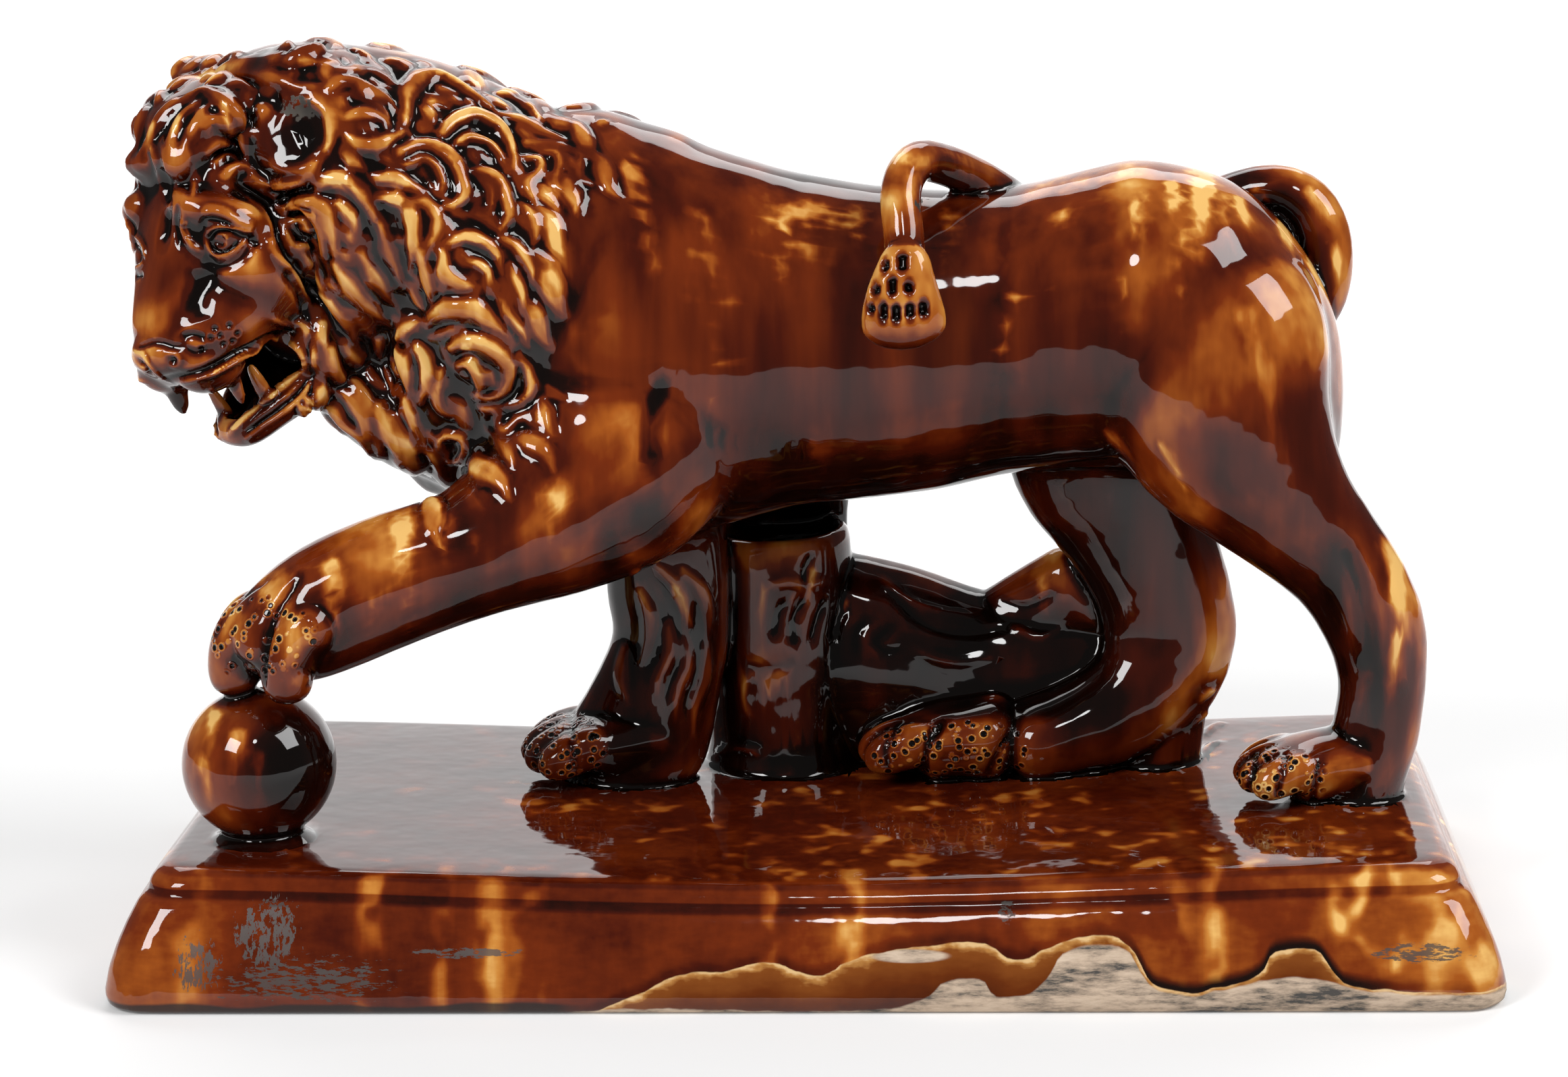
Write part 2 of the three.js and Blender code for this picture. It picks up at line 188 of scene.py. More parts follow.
def egg(middle, sizes, axes=None, segments=32):
    """A ball of clay with three half sizes, turned to a frame of its own."""
    fresh()
    turn = Matrix(axes).transposed().to_euler() if axes else (0, 0, 0)
    bpy.ops.mesh.primitive_uv_sphere_add(segments=segments, ring_count=segments // 2, radius=1,
                                         location=middle, rotation=turn, scale=[s * MM for s in sizes])
    bpy.ops.object.transform_apply(location=True, rotation=True, scale=True)
    return bpy.context.object


# The camera stands where the photograph was taken from. Strokes are drawn as seen from there.
IMAGE_WIDTH, IMAGE_HEIGHT = 2324, 1596
LENS, SENSOR = 87.52, 36.0
EYE = Vector((55.3, -997.6, 317.1)) * MM
YAW, PITCH, ROLL = math.radians(3.517), math.radians(12.072), math.radians(-1.262)
view_forward = Vector((-math.sin(YAW) * math.cos(PITCH), math.cos(YAW) * math.cos(PITCH), -math.sin(PITCH)))
level = view_forward.cross(Vector((0, 0, 1))).normalized()
upright = level.cross(view_forward)
view_right = level * math.cos(ROLL) + upright * math.sin(ROLL)
view_up = upright * math.cos(ROLL) - level * math.sin(ROLL)


def sight(px, py):
    """The direction from the eye through a place in the image."""
    reach = LENS / SENSOR * IMAGE_WIDTH
    return (view_forward + view_right * ((px - IMAGE_WIDTH / 2) / reach)
            + view_up * ((IMAGE_HEIGHT / 2 - py) / reach)).normalized()


# The head's own frame
HEAD = at(-143, -14, 156.5)
HEAD_TURN, HEAD_PITCH, HEAD_TILT = math.radians(48), math.radians(20), math.radians(-6.5)
HEAD_FORWARD = Vector((-math.cos(HEAD_TURN) * math.cos(HEAD_PITCH),
                       -math.sin(HEAD_TURN) * math.cos(HEAD_PITCH), -math.sin(HEAD_PITCH)))
head_level = Vector((-math.sin(HEAD_TURN), math.cos(HEAD_TURN), 0))
HEAD_FAR = head_level * math.cos(HEAD_TILT) + head_level.cross(HEAD_FORWARD) * math.sin(HEAD_TILT)
HEAD_UP = HEAD_FAR.cross(HEAD_FORWARD)
HEAD_AXES = (HEAD_FORWARD, -HEAD_FAR, HEAD_UP)


def on_head(forward, far, up):
    """A place in the head's own frame, in millimetres, as a point in metres."""
    return HEAD + (HEAD_FORWARD * forward + HEAD_FAR * far + HEAD_UP * up) * MM


def head_egg(middle, sizes, segments=32):
    return egg(on_head(*middle), sizes, HEAD_AXES, segments)


def head_limb(stations, **shape):
    return limb(stations, across=HEAD_FAR, place=on_head, **shape)


# Body
TRUNK = [[-108, -2, 122, 28, 42, 30], [-84, 2, 122, 36, 54, 46], [-58, 5, 122, 38.5, 63, 58],
         [-30, 7, 120, 37.5, 55, 51], [0, 8, 120, 35.5, 45.5, 43.5], [30, 8, 120, 34, 41, 41],
         [58, 8, 121, 33.5, 40, 36], [84, 7, 122, 36, 46, 36], [100, 7, 121, 36, 45.5, 38],
         [114, 7, 118, 34, 44, 38], [125, 7, 115, 29, 38, 38], [134, 7, 112, 22, 29.5, 36],
         [140, 7, 110, 14, 19, 28], [143.5, 7, 107, 5, 8, 12]]
MANE = [[-170, -8, 158, 14, 18, 12], [-161, -8, 154, 26, 35, 26], [-150, -7, 149, 34, 50, 32],
        [-136, -6, 146, 40, 57.5, 35], [-120, -4, 143, 44, 60, 46], [-103, 0, 140, 45, 60, 60],
        [-86, 3, 137, 45, 57, 54], [-70, 5, 135, 42, 51, 46], [-56, 6, 135, 38, 46.5, 34],
        [-42, 7, 136, 30, 44, 20], [-22, 7, 138, 14, 36, 10]]


def trunk():
    return limb(TRUNK, rings=30, sides=40, cap=0.02, facing=WORLD_X)


def near_hind_leg():
    leg = limb([[98, -2, 138, 22, 30, 30], [106, -10, 118, 23, 33, 33], [115, -14, 97, 19, 26, 29],
                [128, -15, 78, 14.5, 18, 19], [141.5, -13, 62, 12.5, 15, 14.5],
                [150.5, -12, 47, 11.5, 13.5, 14.5], [152.5, -11, 32, 10.5, 12, 12],
                [151, -11, 17, 11, 12, 12], [149, -12, 4, 12, 10, 13], [149, -12, -6, 12, 9, 13]],
               rings=30, cap=0.05)
    return [leg] + paw((134, -13, 5), (-1, -0.12), 1)


def far_hind_leg():
    leg = limb([[94, 22, 128, 16, 28, 28], [85, 26, 104, 17, 27, 33], [83, 27, 82, 15, 27, 29],
                [88, 27, 64, 13, 23, 20], [95, 27, 48, 12, 20, 18], [98, 27, 33, 12, 19, 19],
                [90, 26, 18, 14, 17, 16], [70, 24, 8.5, 15.5, 13, 13], [50, 22, 5, 15.5, 11.5, 11]],
               rings=30, cap=0.06)
    heel = limb([[94, 30, -7, 12, 12, 12], [95.5, 29, 10, 12, 12.5, 12.5], [97, 28, 28, 12, 14, 14]],
                rings=10, cap=0.15)
    return [leg, heel] + paw((36, 22, 3), (-1, 0.1), 1.15)


def standing_foreleg():
    leg = limb([[-50, 20, 92, 18, 30, 28], [-42, 23, 68, 14, 20, 17], [-39, 23, 50, 12, 17, 18.5],
                [-40, 23, 34, 12, 17, 16], [-46, 22, 18, 13, 20, 17], [-50, 21, 3, 14, 20, 22],
                [-50, 21, -7, 14, 18, 20]], rings=24, cap=0.06)
    return [leg] + paw((-57.5, 19, 4), (-1, -0.25), 1.15)


def raised_foreleg():
    leg = limb([[-44, -6, 116, 22, 34, 30], [-52, -16, 96, 24, 34, 36], [-66, -28, 83.5, 20, 26, 25],
                [-84, -37, 74, 16.5, 18, 17.5], [-102, -43, 68.5, 15.5, 17.5, 18],
                [-117, -46, 63, 15.5, 17.5, 18], [-129, -47, 57, 16, 16, 16.5],
                [-137, -48, 53, 15, 13, 13.5], [-144, -48, 49, 13, 10, 10]], rings=28, cap=0.06)
    toes = [limb([[x + 12, y + 1, 61, r, r, r], [x + 3, y, 57, r, r, r], [x - 0.5, y, 48, r, r, r],
                  [x + 0.5, y, 38.7, r * 0.95, r * 0.95, r * 0.95]], rings=14, sides=18, cap=0.2)
            for x, y, r in ((-130, -59.5, 7), (-145.5, -50, 7.2), (-147.5, -40, 6.2), (-145, -31.5, 5.6))]
    return [leg] + toes


def paw(place, heading, size):
    """A paw flat on the slab: four toes side by side behind one pad, pointing along the heading."""
    ahead = Vector((heading[0], heading[1], 0)).normalized()
    beside = Vector((0, 0, 1)).cross(ahead)

    def spot(forward, sideways, height, wide, rise, drop):
        shift = ahead * (forward * size) + beside * (sideways * size)
        return [place[0] + shift.x, place[1] + shift.y, place[2] + height * size,
                wide * size, rise * size, drop * size]

    pad = limb([spot(-18, 0, 2, 11, 9, 9), spot(-4, 0, 3, 13, 10, 9), spot(8, 0, 1, 13, 8, 9)],
               across=beside, rings=12, cap=0.25)
    instep = limb([spot(-18, 0, 6, 12, 9, 11), spot(-8, 0, 5.5, 13, 8, 9), spot(3, 0, 4.5, 13.5, 7, 8),
                   spot(13, 0, 2.5, 13, 5, 6)], across=beside, rings=14, cap=0.2)
    toes = []
    for k in (-1.5, -0.5, 0.5, 1.5):
        reach = 3 - abs(k) * 2.4
        toe = [spot(0, k * 6.6, 5, 4.6, 5, 6), spot(9 + reach, k * 7, 4, 4.6, 5.2, 6),
               spot(19 + reach, k * 7.2, -0.5, 4, 4, 5)]
        toes.append(limb(toe, across=beside, rings=12, sides=14, cap=0.25))
    return [pad, instep] + toes


def slab_top(x):
    """Height of the sagged slab in millimetres."""
    return BASE_HEIGHT - SAG * np.cos(np.minimum(np.abs(2 * x) / BASE_LENGTH, 1) * math.pi / 2) ** 2


BALL = (-141.6, -46.5)
BALL_COLLAR = 3.0


def ball():
    x, y = BALL
    globe = egg(Vector((x, y, slab_top(x) + BALL_RADIUS)) * MM, [BALL_RADIUS] * 3, segments=48)
    collar = egg(Vector((x, y, slab_top(x))) * MM, [BALL_RADIUS * 0.66, BALL_RADIUS * 0.66, BALL_COLLAR])
    return [globe, collar]


STUMP = (-9.5, 41)
STUMP_RADIUS = 20.5
STUMP_HEIGHT = 70.2
# How far up the bole its top begins to lean, and its rise to the right and to the back
LEAN_FROM = 0.4
LEAN = (0.12, 0.05)
# Rings of the bole: share of the radius, and share of the height
BOLE = [(1.2, 0.0), (1.07, 0.05), (1.01, 0.13), (0.99, 0.4), (0.97, 0.7), (0.96, 0.88), (0.95, 0.95),
        (0.91, 0.985), (0.85, 0.995), (0.78, 0.985), (0.68, 0.966), (0.5, 0.957), (0.25, 0.955)]


def stump():
    """The bole is one disc, extruded up ring by ring, with a shallow dish in its leaning top."""
    x, y = STUMP
    wide, low = BOLE[0]
    fresh()
    foot = (slab_top(x) - 2) * MM
    bpy.ops.mesh.primitive_circle_add(vertices=48, radius=wide * STUMP_RADIUS * MM, fill_type="NGON",
                                      location=(x * MM, y * MM, foot))
    bole = bpy.context.object
    editing()
    for share, up in BOLE[1:]:
        bpy.ops.mesh.extrude_region_move(
            TRANSFORM_OT_translate={"value": (0, 0, (up - low) * STUMP_HEIGHT * MM)})
        bpy.ops.transform.resize(value=(share / wide, share / wide, 1),
                                 center_override=(x * MM, y * MM, foot + up * STUMP_HEIGHT * MM))
        wide, low = share, up
    closed()
    leaning = foot + LEAN_FROM * STUMP_HEIGHT * MM
    for vertex in bole.data.vertices:
        above = max(0, vertex.co.z - leaning) / ((1 - LEAN_FROM) * STUMP_HEIGHT * MM)
        vertex.co.z += above * (LEAN[0] * (vertex.co.x - x * MM) + LEAN[1] * (vertex.co.y - y * MM))
    return [bole]


def stump_neck():
    """What joins the stump's back rim to the belly."""
    return limb([[-9, 49, 8, 11, 18, 18], [-9, 53, 40, 9, 19, 19], [-9, 57, 64, 7, 20, 19],
                 [-8, 46, 84, 9, 20, 19], [-8, 24, 108, 12, 18, 18]], rings=18, cap=0.06)


def fallen_log():
    log = limb([[-4, 44, 26, 17.1, 31.35, 32.3], [22, 43, 21, 18.05, 30.4, 28.5],
                [48, 42, 18, 17.1, 25.65, 24.7], [76, 40, 19, 15.2, 24.7, 22.8],
                [100, 38, 16, 11.4, 19, 19]], rings=24, cap=0.08)
    branch = limb([[44, 42, 30, 9, 10, 14], [58, 39, 41, 9, 9, 20], [76, 34, 53, 9, 9, 26]],
                  rings=14, cap=0.15)
    return [log, branch]


def tail():
    route = [[126, 16, 116], [137, 20, 128], [139.5, 23, 142], [135, 25, 153], [125, 28, 157], [110, 32, 153],
             [94, 36, 146], [76, 35, 145], [61, 26, 152], [49, 11, 161.5], [39, -2, 168], [31.5, -14, 170.5],
             [27.5, -23, 165], [28, -29, 155], [29, -33, 145]]
    thick = [7.3, 7.6, 7.4, 7.2, 6.8, 6.4, 6, 5.8, 5.6, 5.6, 5.5, 5.5, 5.4, 5.3, 5.1]
    cord = limb([p + [r, r, r] for p, r in zip(route, thick)], across=Vector((0.62, -0.5, 0.6)),
                rings=60, sides=18, cap=0.03)
    tuft = limb([[29, -33, 153, 5, 4, 4], [28.5, -35.5, 147, 7, 4.5, 4.5], [28, -37, 140, 9.5, 5, 5],
                 [28, -37, 133, 11, 5, 5], [28.5, -36.5, 125, 10.5, 4.5, 4.5]],
                across=WORLD_X, rings=20, cap=0.2)
    web = egg(at(124, 22, 138), (9, 4.5, 13))
    return [cord, tuft, web]


# The moulding from the foot up: how far it stands out past the block's nominal side, and its height
MOULDING = [(-1.9, 0), (-0.475, 1.2), (0, 4), (-1.2, 10), (-3.15, 15.7), (-5.6, 21.2), (-7.6, 25), (-8.6, 27),
            (-10.6, 28), (-10.9, 29.4), (-10.7, 30.2), (-11.7, 32), (-13.2, 33.5), (-15.2, 34.6), (-17.5, 35)]
SLICES = 16


def base():
    """The block is a plane extruded up ring by ring through the moulding, and sagged in slices."""
    fresh()
    bpy.ops.mesh.primitive_plane_add(size=1, location=(0, 0, 0))
    block = bpy.context.object
    editing()
    out, up = MOULDING[0]
    length, width = (BASE_LENGTH + 2 * out) * MM, (BASE_WIDTH + 2 * out) * MM
    bpy.ops.transform.resize(value=(length, width, 1))
    bpy.ops.mesh.bevel(offset=CORNER * MM, segments=7, affect="VERTICES")
    for out, height in MOULDING[1:]:
        new_length, new_width = (BASE_LENGTH + 2 * out) * MM, (BASE_WIDTH + 2 * out) * MM
        bpy.ops.mesh.extrude_region_move(TRANSFORM_OT_translate={"value": (0, 0, (height - up) * MM)})
        bpy.ops.transform.resize(value=(new_length / length, new_width / width, 1),
                                 center_override=(0, 0, height * MM))
        length, width, up = new_length, new_width, height
    bpy.ops.mesh.select_all(action="SELECT")
    bpy.ops.mesh.normals_make_consistent(inside=False)
    for k in range(1, SLICES):
        bpy.ops.mesh.select_all(action="SELECT")
        bpy.ops.mesh.bisect(plane_co=((k / SLICES - 0.5) * BASE_LENGTH * MM, 0, 0), plane_no=(1, 0, 0))
    bpy.ops.object.mode_set(mode="OBJECT")
    for vertex in block.data.vertices:
        vertex.co.z *= slab_top(vertex.co.x / MM) / BASE_HEIGHT
    return [block]


def both(make):
    """The same form on the head's two sides."""
    return [make(-1), make(1)]


def head():
    parts = [head_egg((-4, 0, 5), (23, 25, 25)),
             head_limb([[4, 0, 22, 18, 9, 12], [17, 0, 11, 18, 8, 10], [27, 0, -2, 14, 6, 9],
                        [36, 0, -10, 10.5, 5, 7], [41.5, 0, -15, 7.5, 4, 5]], rings=20, sides=32, cap=0.12),
             head_limb([[2, 0, -11, 25, 16, 18], [16, 0, -12, 24, 16, 16], [28, 0, -15.5, 21, 13.5, 13.5],
                        [37, 0, -20, 15.5, 8.5, 11], [43.5, 0, -22, 10.5, 5, 7.5]],
                       rings=24, sides=32, cap=0.1),
             head_egg((42.5, 0, -16.5), (4.6, 9, 5.6))]
    parts += both(lambda s: head_egg((10, s * 17, -5), (16, 10, 15)))
    parts += both(lambda s: head_limb([[23, s * 5, 17, 4.5, 4.5, 4.5], [22, s * 12, 15.5, 5, 4.5, 4.5],
                                       [17, s * 19, 11, 4.5, 4.5, 4.5], [10, s * 23, 5, 3.5, 3.5, 3.5]],
                                      rings=12, cap=0.2))
    parts += both(lambda s: head_egg((33, s * 8.5, -22.5), (10.5, 9, 8.5)))
    parts += both(lambda s: head_egg((2, s * 18, -31), (12, 6.5, 13)))
    parts.append(head_limb([[-10, 0, 32, 20, 7, 10], [-1, 0, 30, 20, 5.5, 10], [7, 1, 29, 19, 6, 10],
                            [13, 2, 26.5, 17, 5, 8], [17.5, 4, 25, 13, 4, 6]], rings=16, sides=32, cap=0.12))
    parts.append(head_egg((19, 5, 27.5), (4, 5.5, 3.4)))
    parts.append(head_egg((15, 1, 21.5), (6.5, 15, 5.5)))
    return parts


def jaw():
    return head_limb([[-6, 0, -38, 17, 9, 9], [6, 0, -41, 19.5, 8, 8.5], [15, 0, -42, 19, 7, 7.5],
                      [22, 0, -44, 16, 5.5, 6], [28, 0, -46, 11.5, 4.5, 4.5], [32.5, 0, -47, 7, 3, 3]],
                     rings=24, sides=32, cap=0.12)


def mouth_hollow():
    """What is taken out between the jaws: the roof of the mouth and the trough behind the lower lip."""
    return head_limb([[-4, 0, -32, 11, 6, 6], [8, 0, -32, 14.5, 8, 8], [18, 0, -34, 13, 9, 7],
                      [25, 0, -36, 9.5, 9, 6.5], [31, 0, -38, 5, 8, 5]], rings=20, sides=32, cap=0.15)


# The ruff's two rings about the face: distance from its middle, number of tufts and place along the head
RUFF = ((31, 20, -8), (40, 26, -18))
RUFF_START, RUFF_SWEEP = 122, 296


def ruff():
    """Hair rising round the face to the mane's rim: two rings of tufts, open at the crown, over the chest."""
    forms = [limb([[-124, -8, 121, 16, 11, 11], [-115, -8, 110, 19, 12, 12], [-105, -6, 102, 21, 12, 12],
                   [-95, -4, 96, 20, 12, 12]], rings=12, cap=0.2)]
    for spread, count, ahead in RUFF:
        for k in range(count):
            turn = math.radians(RUFF_START + RUFF_SWEEP * k / (count - 1))
            tuft = (ahead, spread * math.cos(turn), spread * math.sin(turn) - 4)
            forms.append(head_egg(tuft, (12, 12, 12), 20))
    return forms


def mane_mass():
    """The full mass behind the face, with the part before the face's plane cut away."""
    mass = limb(MANE, rings=26, sides=40, cap=0.03, facing=WORLD_X)
    only(mass)
    editing()
    bpy.ops.mesh.bisect(plane_co=on_head(-10, 0, 0), plane_no=HEAD_FORWARD, clear_outer=True, use_fill=True)
    closed()
    return mass


def cut(piece, tool):
    """Takes one form out of another, and does away with the form taken out."""
    apply_modifier(piece, "BOOLEAN", operation="DIFFERENCE", object=tool, solver="EXACT")
    bpy.data.objects.remove(tool)


def ears():
    """Each ear is an egg. A cup is taken out of the far one, and the near one's is drawn later."""
    near, far = both(lambda s: head_egg((-9, s * 26, 19), (9.5, 8, 10.5)))
    cut(far, head_egg((1.0, 29, 19.5), (4.5, 4.0, 6.5)))
    return [near, far]


# The four fangs in the head's frame: root, tip and half width
TEETH = [((35.5, 8.5, -25), (36.5, 8.5, -37), 4.2), ((29.5, -9.5, -25), (30, -10, -37.5), 3),
         ((25.5, 7, -44), (27.5, 7, -32.5), 2.7), ((22.6, -10, -40), (23.6, -10, -28), 2.9)]


def teeth():
    made = []
    for root, tip, wide in TEETH:
        middle = [(a + b) / 2 for a, b in zip(root, tip)]
        made.append(head_limb([[*root, wide, wide * 0.7, wide * 0.7],
                               [*middle, wide * 0.85, wide * 0.6, wide * 0.6],
                               [*tip, wide * 0.4, wide * 0.35, wide * 0.35]], rings=10, sides=16, cap=0.25))
    return made


def eyes():
    return both(lambda s: head_egg((16.5, s * 18.2, 6), (5.4, 4.6, 4.2), 24))


# Grain of the clay in millimetres, and passes of smoothing, while the forms are grown together
FINE = 0.8
TORSO_GRAIN, TORSO_PASSES = 2.0, 18
FACE_GRAIN, FOOT_GRAIN, SMALL_PASSES = 1.1, 1.0, 9
WHOLE_PASSES = 5


def softened(forms, name, grain, passes):
    """The forms grown into one skin, with the creases between them eased."""
    piece = join(forms, name)
    apply_modifier(piece, "REMESH", mode="VOXEL", voxel_size=grain * MM)
    apply_modifier(piece, "SMOOTH", factor=0.5, iterations=passes)
    return piece


def rough_body():
    """All the forms grown into one body, with the joins above the block eased."""
    legs = [near_hind_leg(), far_hind_leg(), standing_foreleg(), raised_foreleg()]
    masses = [trunk(), mane_mass(), stump_neck()] + ruff() + [leg[0] for leg in legs]
    torso = softened(masses, "torso", TORSO_GRAIN, TORSO_PASSES)
    face = softened(head() + [jaw()], "face", FACE_GRAIN, SMALL_PASSES)
    cut(face, mouth_hollow())
    feet = [softened(leg[1:], "foot", FOOT_GRAIN, SMALL_PASSES) for leg in legs]
    parts = [torso, face] + ears() + teeth() + eyes() + feet
    for made in (ball, stump, fallen_log, tail, base):
        parts += made()
    body = join(parts, "lion")
    apply_modifier(body, "REMESH", mode="VOXEL", voxel_size=FINE * MM)
    above = body.vertex_groups.new(name="above_base")
    heights = read(body.data, "co")[:, 2]
    lowest = (BASE_HEIGHT - SAG - 1) * MM
    above.add([int(k) for k in np.nonzero(heights > lowest)[0]], 1.0, "REPLACE")
    apply_modifier(body, "SMOOTH", factor=0.5, iterations=WHOLE_PASSES, vertex_group="above_base")
    body.vertex_groups.clear()
    return body


def read(mesh, name):
    """The places or the normals of all points, a row for each."""
    values = np.empty(len(mesh.vertices) * 3, np.float32)
    mesh.vertices.foreach_get(name, values)
    return values.reshape(-1, 3).astype(float)


# Relief: strokes drawn as seen by the camera, laid on the skin, and raised on it or cut into it

# The longest gap within a stroke, and the step between the points along it, in millimetres
JUMP = 7.0
STEP = 0.7
# How near the head's middle a stroke may come, and how far from the head it may be, to be mirrored
MIDDLE, HEAD_REACH = 5, 75
MIRROR_MISS = 9


class Skin:
    """The points of a piece in millimetres with their outward directions."""

    def __init__(self, piece):
        self.piece = piece
        self.points = read(piece.data, "co") / MM
        self.outward = read(piece.data, "normal")
        self.lift = np.zeros(len(self.points))
        self.tree = BVHTree.FromObject(piece, bpy.context.evaluated_depsgraph_get())

    def seen_at(self, px, py):
        """The place on the skin seen at a place in the image."""
        hit = self.tree.ray_cast(EYE, sight(px, py))[0]
        return None if hit is None else np.array(hit) / MM

    def seen_path(self, places):
        """A smooth path on the skin through places in the image. A place off the skin is passed over."""
        table = np.array(places, float)
        fine = [through(table, share) for share in np.linspace(0, 1, 6 * len(places))]
        found = [self.seen_at(*place) for place in fine]
        found = [place for place in found if place is not None]
        return self.laid(found)

    def mirrored(self, path):
        """The same path on the head's far side, for a path that lies wholly on the near side."""
        if path is None:
            return None
        shift = path - np.array(HEAD) / MM
        far = shift @ np.array(HEAD_FAR)
        if far.max() > -MIDDLE or np.linalg.norm(shift, axis=1).max() > HEAD_REACH:
            return None
        across = path - 2 * far[:, None] * np.array(HEAD_FAR)
        nearest = [self.tree.find_nearest(Vector(place) * MM) for place in across]
        return self.laid([np.array(place) / MM for place, _, _, away in nearest if away < MIRROR_MISS * MM])

    def behind(self, places):
        """A path on the far side, through places along it and above the base."""
        found = []
        for x, z in np.array([through(np.array(places, float), share) for share in np.linspace(0, 1, 20)]):
            hit = self.tree.ray_cast(at(x, 200, z), -WORLD_Y)[0]
            if hit is not None:
                found.append(np.array(hit) / MM)
        return self.laid(found)

    def laid(self, places):
        """A path in even short steps, broken off where it would jump to another form."""
        kept = [places[0]] if places else []
        for place in places[1:]:
            if np.linalg.norm(place - kept[-1]) < JUMP:
                kept.append(place)
        if len(kept) < 2:
            return None
        kept = np.array(kept)
        steps = np.linalg.norm(np.diff(kept, axis=0), axis=1)
        run = np.concatenate([[0], np.cumsum(steps)])
        count = max(3, int(run[-1] / STEP) + 1)
        even = np.linspace(0, run[-1], count)
        return np.stack([np.interp(even, run, kept[:, k]) for k in range(3)], axis=1)

    def about(self, path, reach):
        """The points close to a path, with the distance, the share of the way along it and the side."""
        low, high = path.min(axis=0) - reach, path.max(axis=0) + reach
        index = np.nonzero(np.all((self.points > low) & (self.points < high), axis=1))[0]
        if len(index) == 0:
            return None
        away = self.points[index][:, None, :] - path[None, :, :]
        squares = (away ** 2).sum(axis=2)
        nearest = squares.argmin(axis=1)
        keep = squares[np.arange(len(index)), nearest] < reach ** 2
        index, nearest, away = index[keep], nearest[keep], away[keep]
        if len(index) == 0:
            return None
        away = away[np.arange(len(index)), nearest]
        along = np.gradient(path, axis=0)
        along /= np.linalg.norm(along, axis=1)[:, None] + 1e-9
        along = along[nearest]
        flat = away - along * (away * along).sum(axis=1)[:, None]
        inner = (nearest > 0) & (nearest < len(path) - 1)
        distance = np.where(inner, np.linalg.norm(flat, axis=1), np.linalg.norm(away, axis=1))
        aside = (np.cross(self.outward[index], along) * away).sum(axis=1)
        return index, distance, nearest / (len(path) - 1), aside

    def lock(self, path, width, height, strands=2, start=0.6, end=0.25):
        """A raised lock of hair, split lengthwise into strands and set off by a hollow round it."""
        found = path is not None and self.about(path, width * 1.6)
        if not found:
            return
        index, distance, share, aside = found
        swell = np.where(share < 0.4, start + (1 - start) * np.sin(share / 0.4 * math.pi / 2),
                         end + (1 - end) * np.cos((share - 0.4) / 0.6 * math.pi / 2))
        across = distance / (width * swell)
        crest = np.clip(1 - across ** 2, 0, 1) ** 0.8
        combed = 1.0
        if strands > 1:
            combed = 1 - 0.3 * (0.5 + 0.5 * np.cos(math.pi * strands * (aside / (width * swell) + 1)))
        raised = height * (0.35 + 0.65 * swell) * crest * combed
        here = self.lift[index]
        over = np.where(across < 1, np.maximum(raised + 0.12 * here, here * 0.6), here)
        moat = np.where((across >= 1) & (across < 1.5), np.sin((across - 1) / 0.5 * math.pi), 0)
        self.lift[index] = over - moat * height * 0.16

    def stroke(self, path, width, height):
        """A thin ridge, or a groove where the height is under nothing, that dies away at both ends."""
        found = path is not None and self.about(path, width)
        if not found:
            return
        index, distance, share, _ = found
        ends = np.minimum(1, np.minimum(share, 1 - share) * 6 + 0.25)
        self.lift[index] += height * ends * (0.5 + 0.5 * np.cos(np.clip(distance / width, 0, 1) * math.pi))

    def draw(self, strokes, mirror=False):
        """Strokes through places in the image, and where asked for also on the head's far side."""
        for places, width, height in strokes:
            path = self.seen_path(places)
            self.stroke(path, width, height)
            if mirror:
                self.stroke(self.mirrored(path), width, height)

    def comb(self, locks):
        """Locks through places in the image, each also on the head's far side where it has one."""
        for places, width, height, strands in locks:
            path = self.seen_path(places)
            self.lock(path, width, height, strands)
            self.lock(self.mirrored(path), width, height, strands)

    def cup(self, place, radius, height, depth, strong):
        """A hollow with a raised rim, highest on its strong side, over whatever was drawn there before."""
        away = self.points - place
        index = np.nonzero(np.linalg.norm(away, axis=1) < radius * 1.4)[0]
        toward = away[index] @ np.array(strong) / radius
        across = np.linalg.norm(away[index], axis=1) / radius * (1 + 0.12 * np.sin(3 * toward + 1))
        height = height * np.clip(0.55 + 0.6 * toward, 0.1, 1)
        kept = np.clip((across - 1) / 0.3, 0, 1)
        rim = height * np.exp(-((across - 0.95) / 0.17) ** 2)
        bowl = depth * np.clip(1 - (across / 0.85) ** 2, 0, 1) ** 0.7
        self.lift[index] = self.lift[index] * kept + rim - bowl

    def pit(self, place, radius, depth):
        """A round pit with a slight rim."""
        if place is None:
            return
        away = np.linalg.norm(self.points - place, axis=1)
        index = np.nonzero(away < radius * 2)[0]
        across = away[index] / radius
        bowl = np.where(across < 1, 1 - across ** 2, 0)
        rim = np.exp(-((across - 1.25) / 0.3) ** 2)
        self.lift[index] += rim * depth * 0.35 - bowl * depth

    def settle(self):
        """Moves the points by the relief drawn so far, softened as under a thick glaze."""
        lift = eased(self.piece.data, self.lift, 3)
        put(self.piece.data, (self.points + self.outward * lift[:, None]) * MM)


def put(mesh, places):
    """Moves all points to new places."""
    mesh.vertices.foreach_set("co", places.astype(np.float32).ravel())
    mesh.update()


def eased(mesh, values, passes):
    """A value at each point drawn towards the mean of its neighbours, pass by pass."""
    ends = np.empty(len(mesh.edges) * 2, np.int32)
    mesh.edges.foreach_get("vertices", ends)
    first, second = ends[0::2], ends[1::2]
    size = len(values)
    count = np.maximum(np.bincount(ends, minlength=size), 1)
    for _ in range(passes):
        pulled = np.bincount(first, values[second], size) + np.bincount(second, values[first], size)
        values = 0.4 * values + 0.6 * pulled / count
    return values


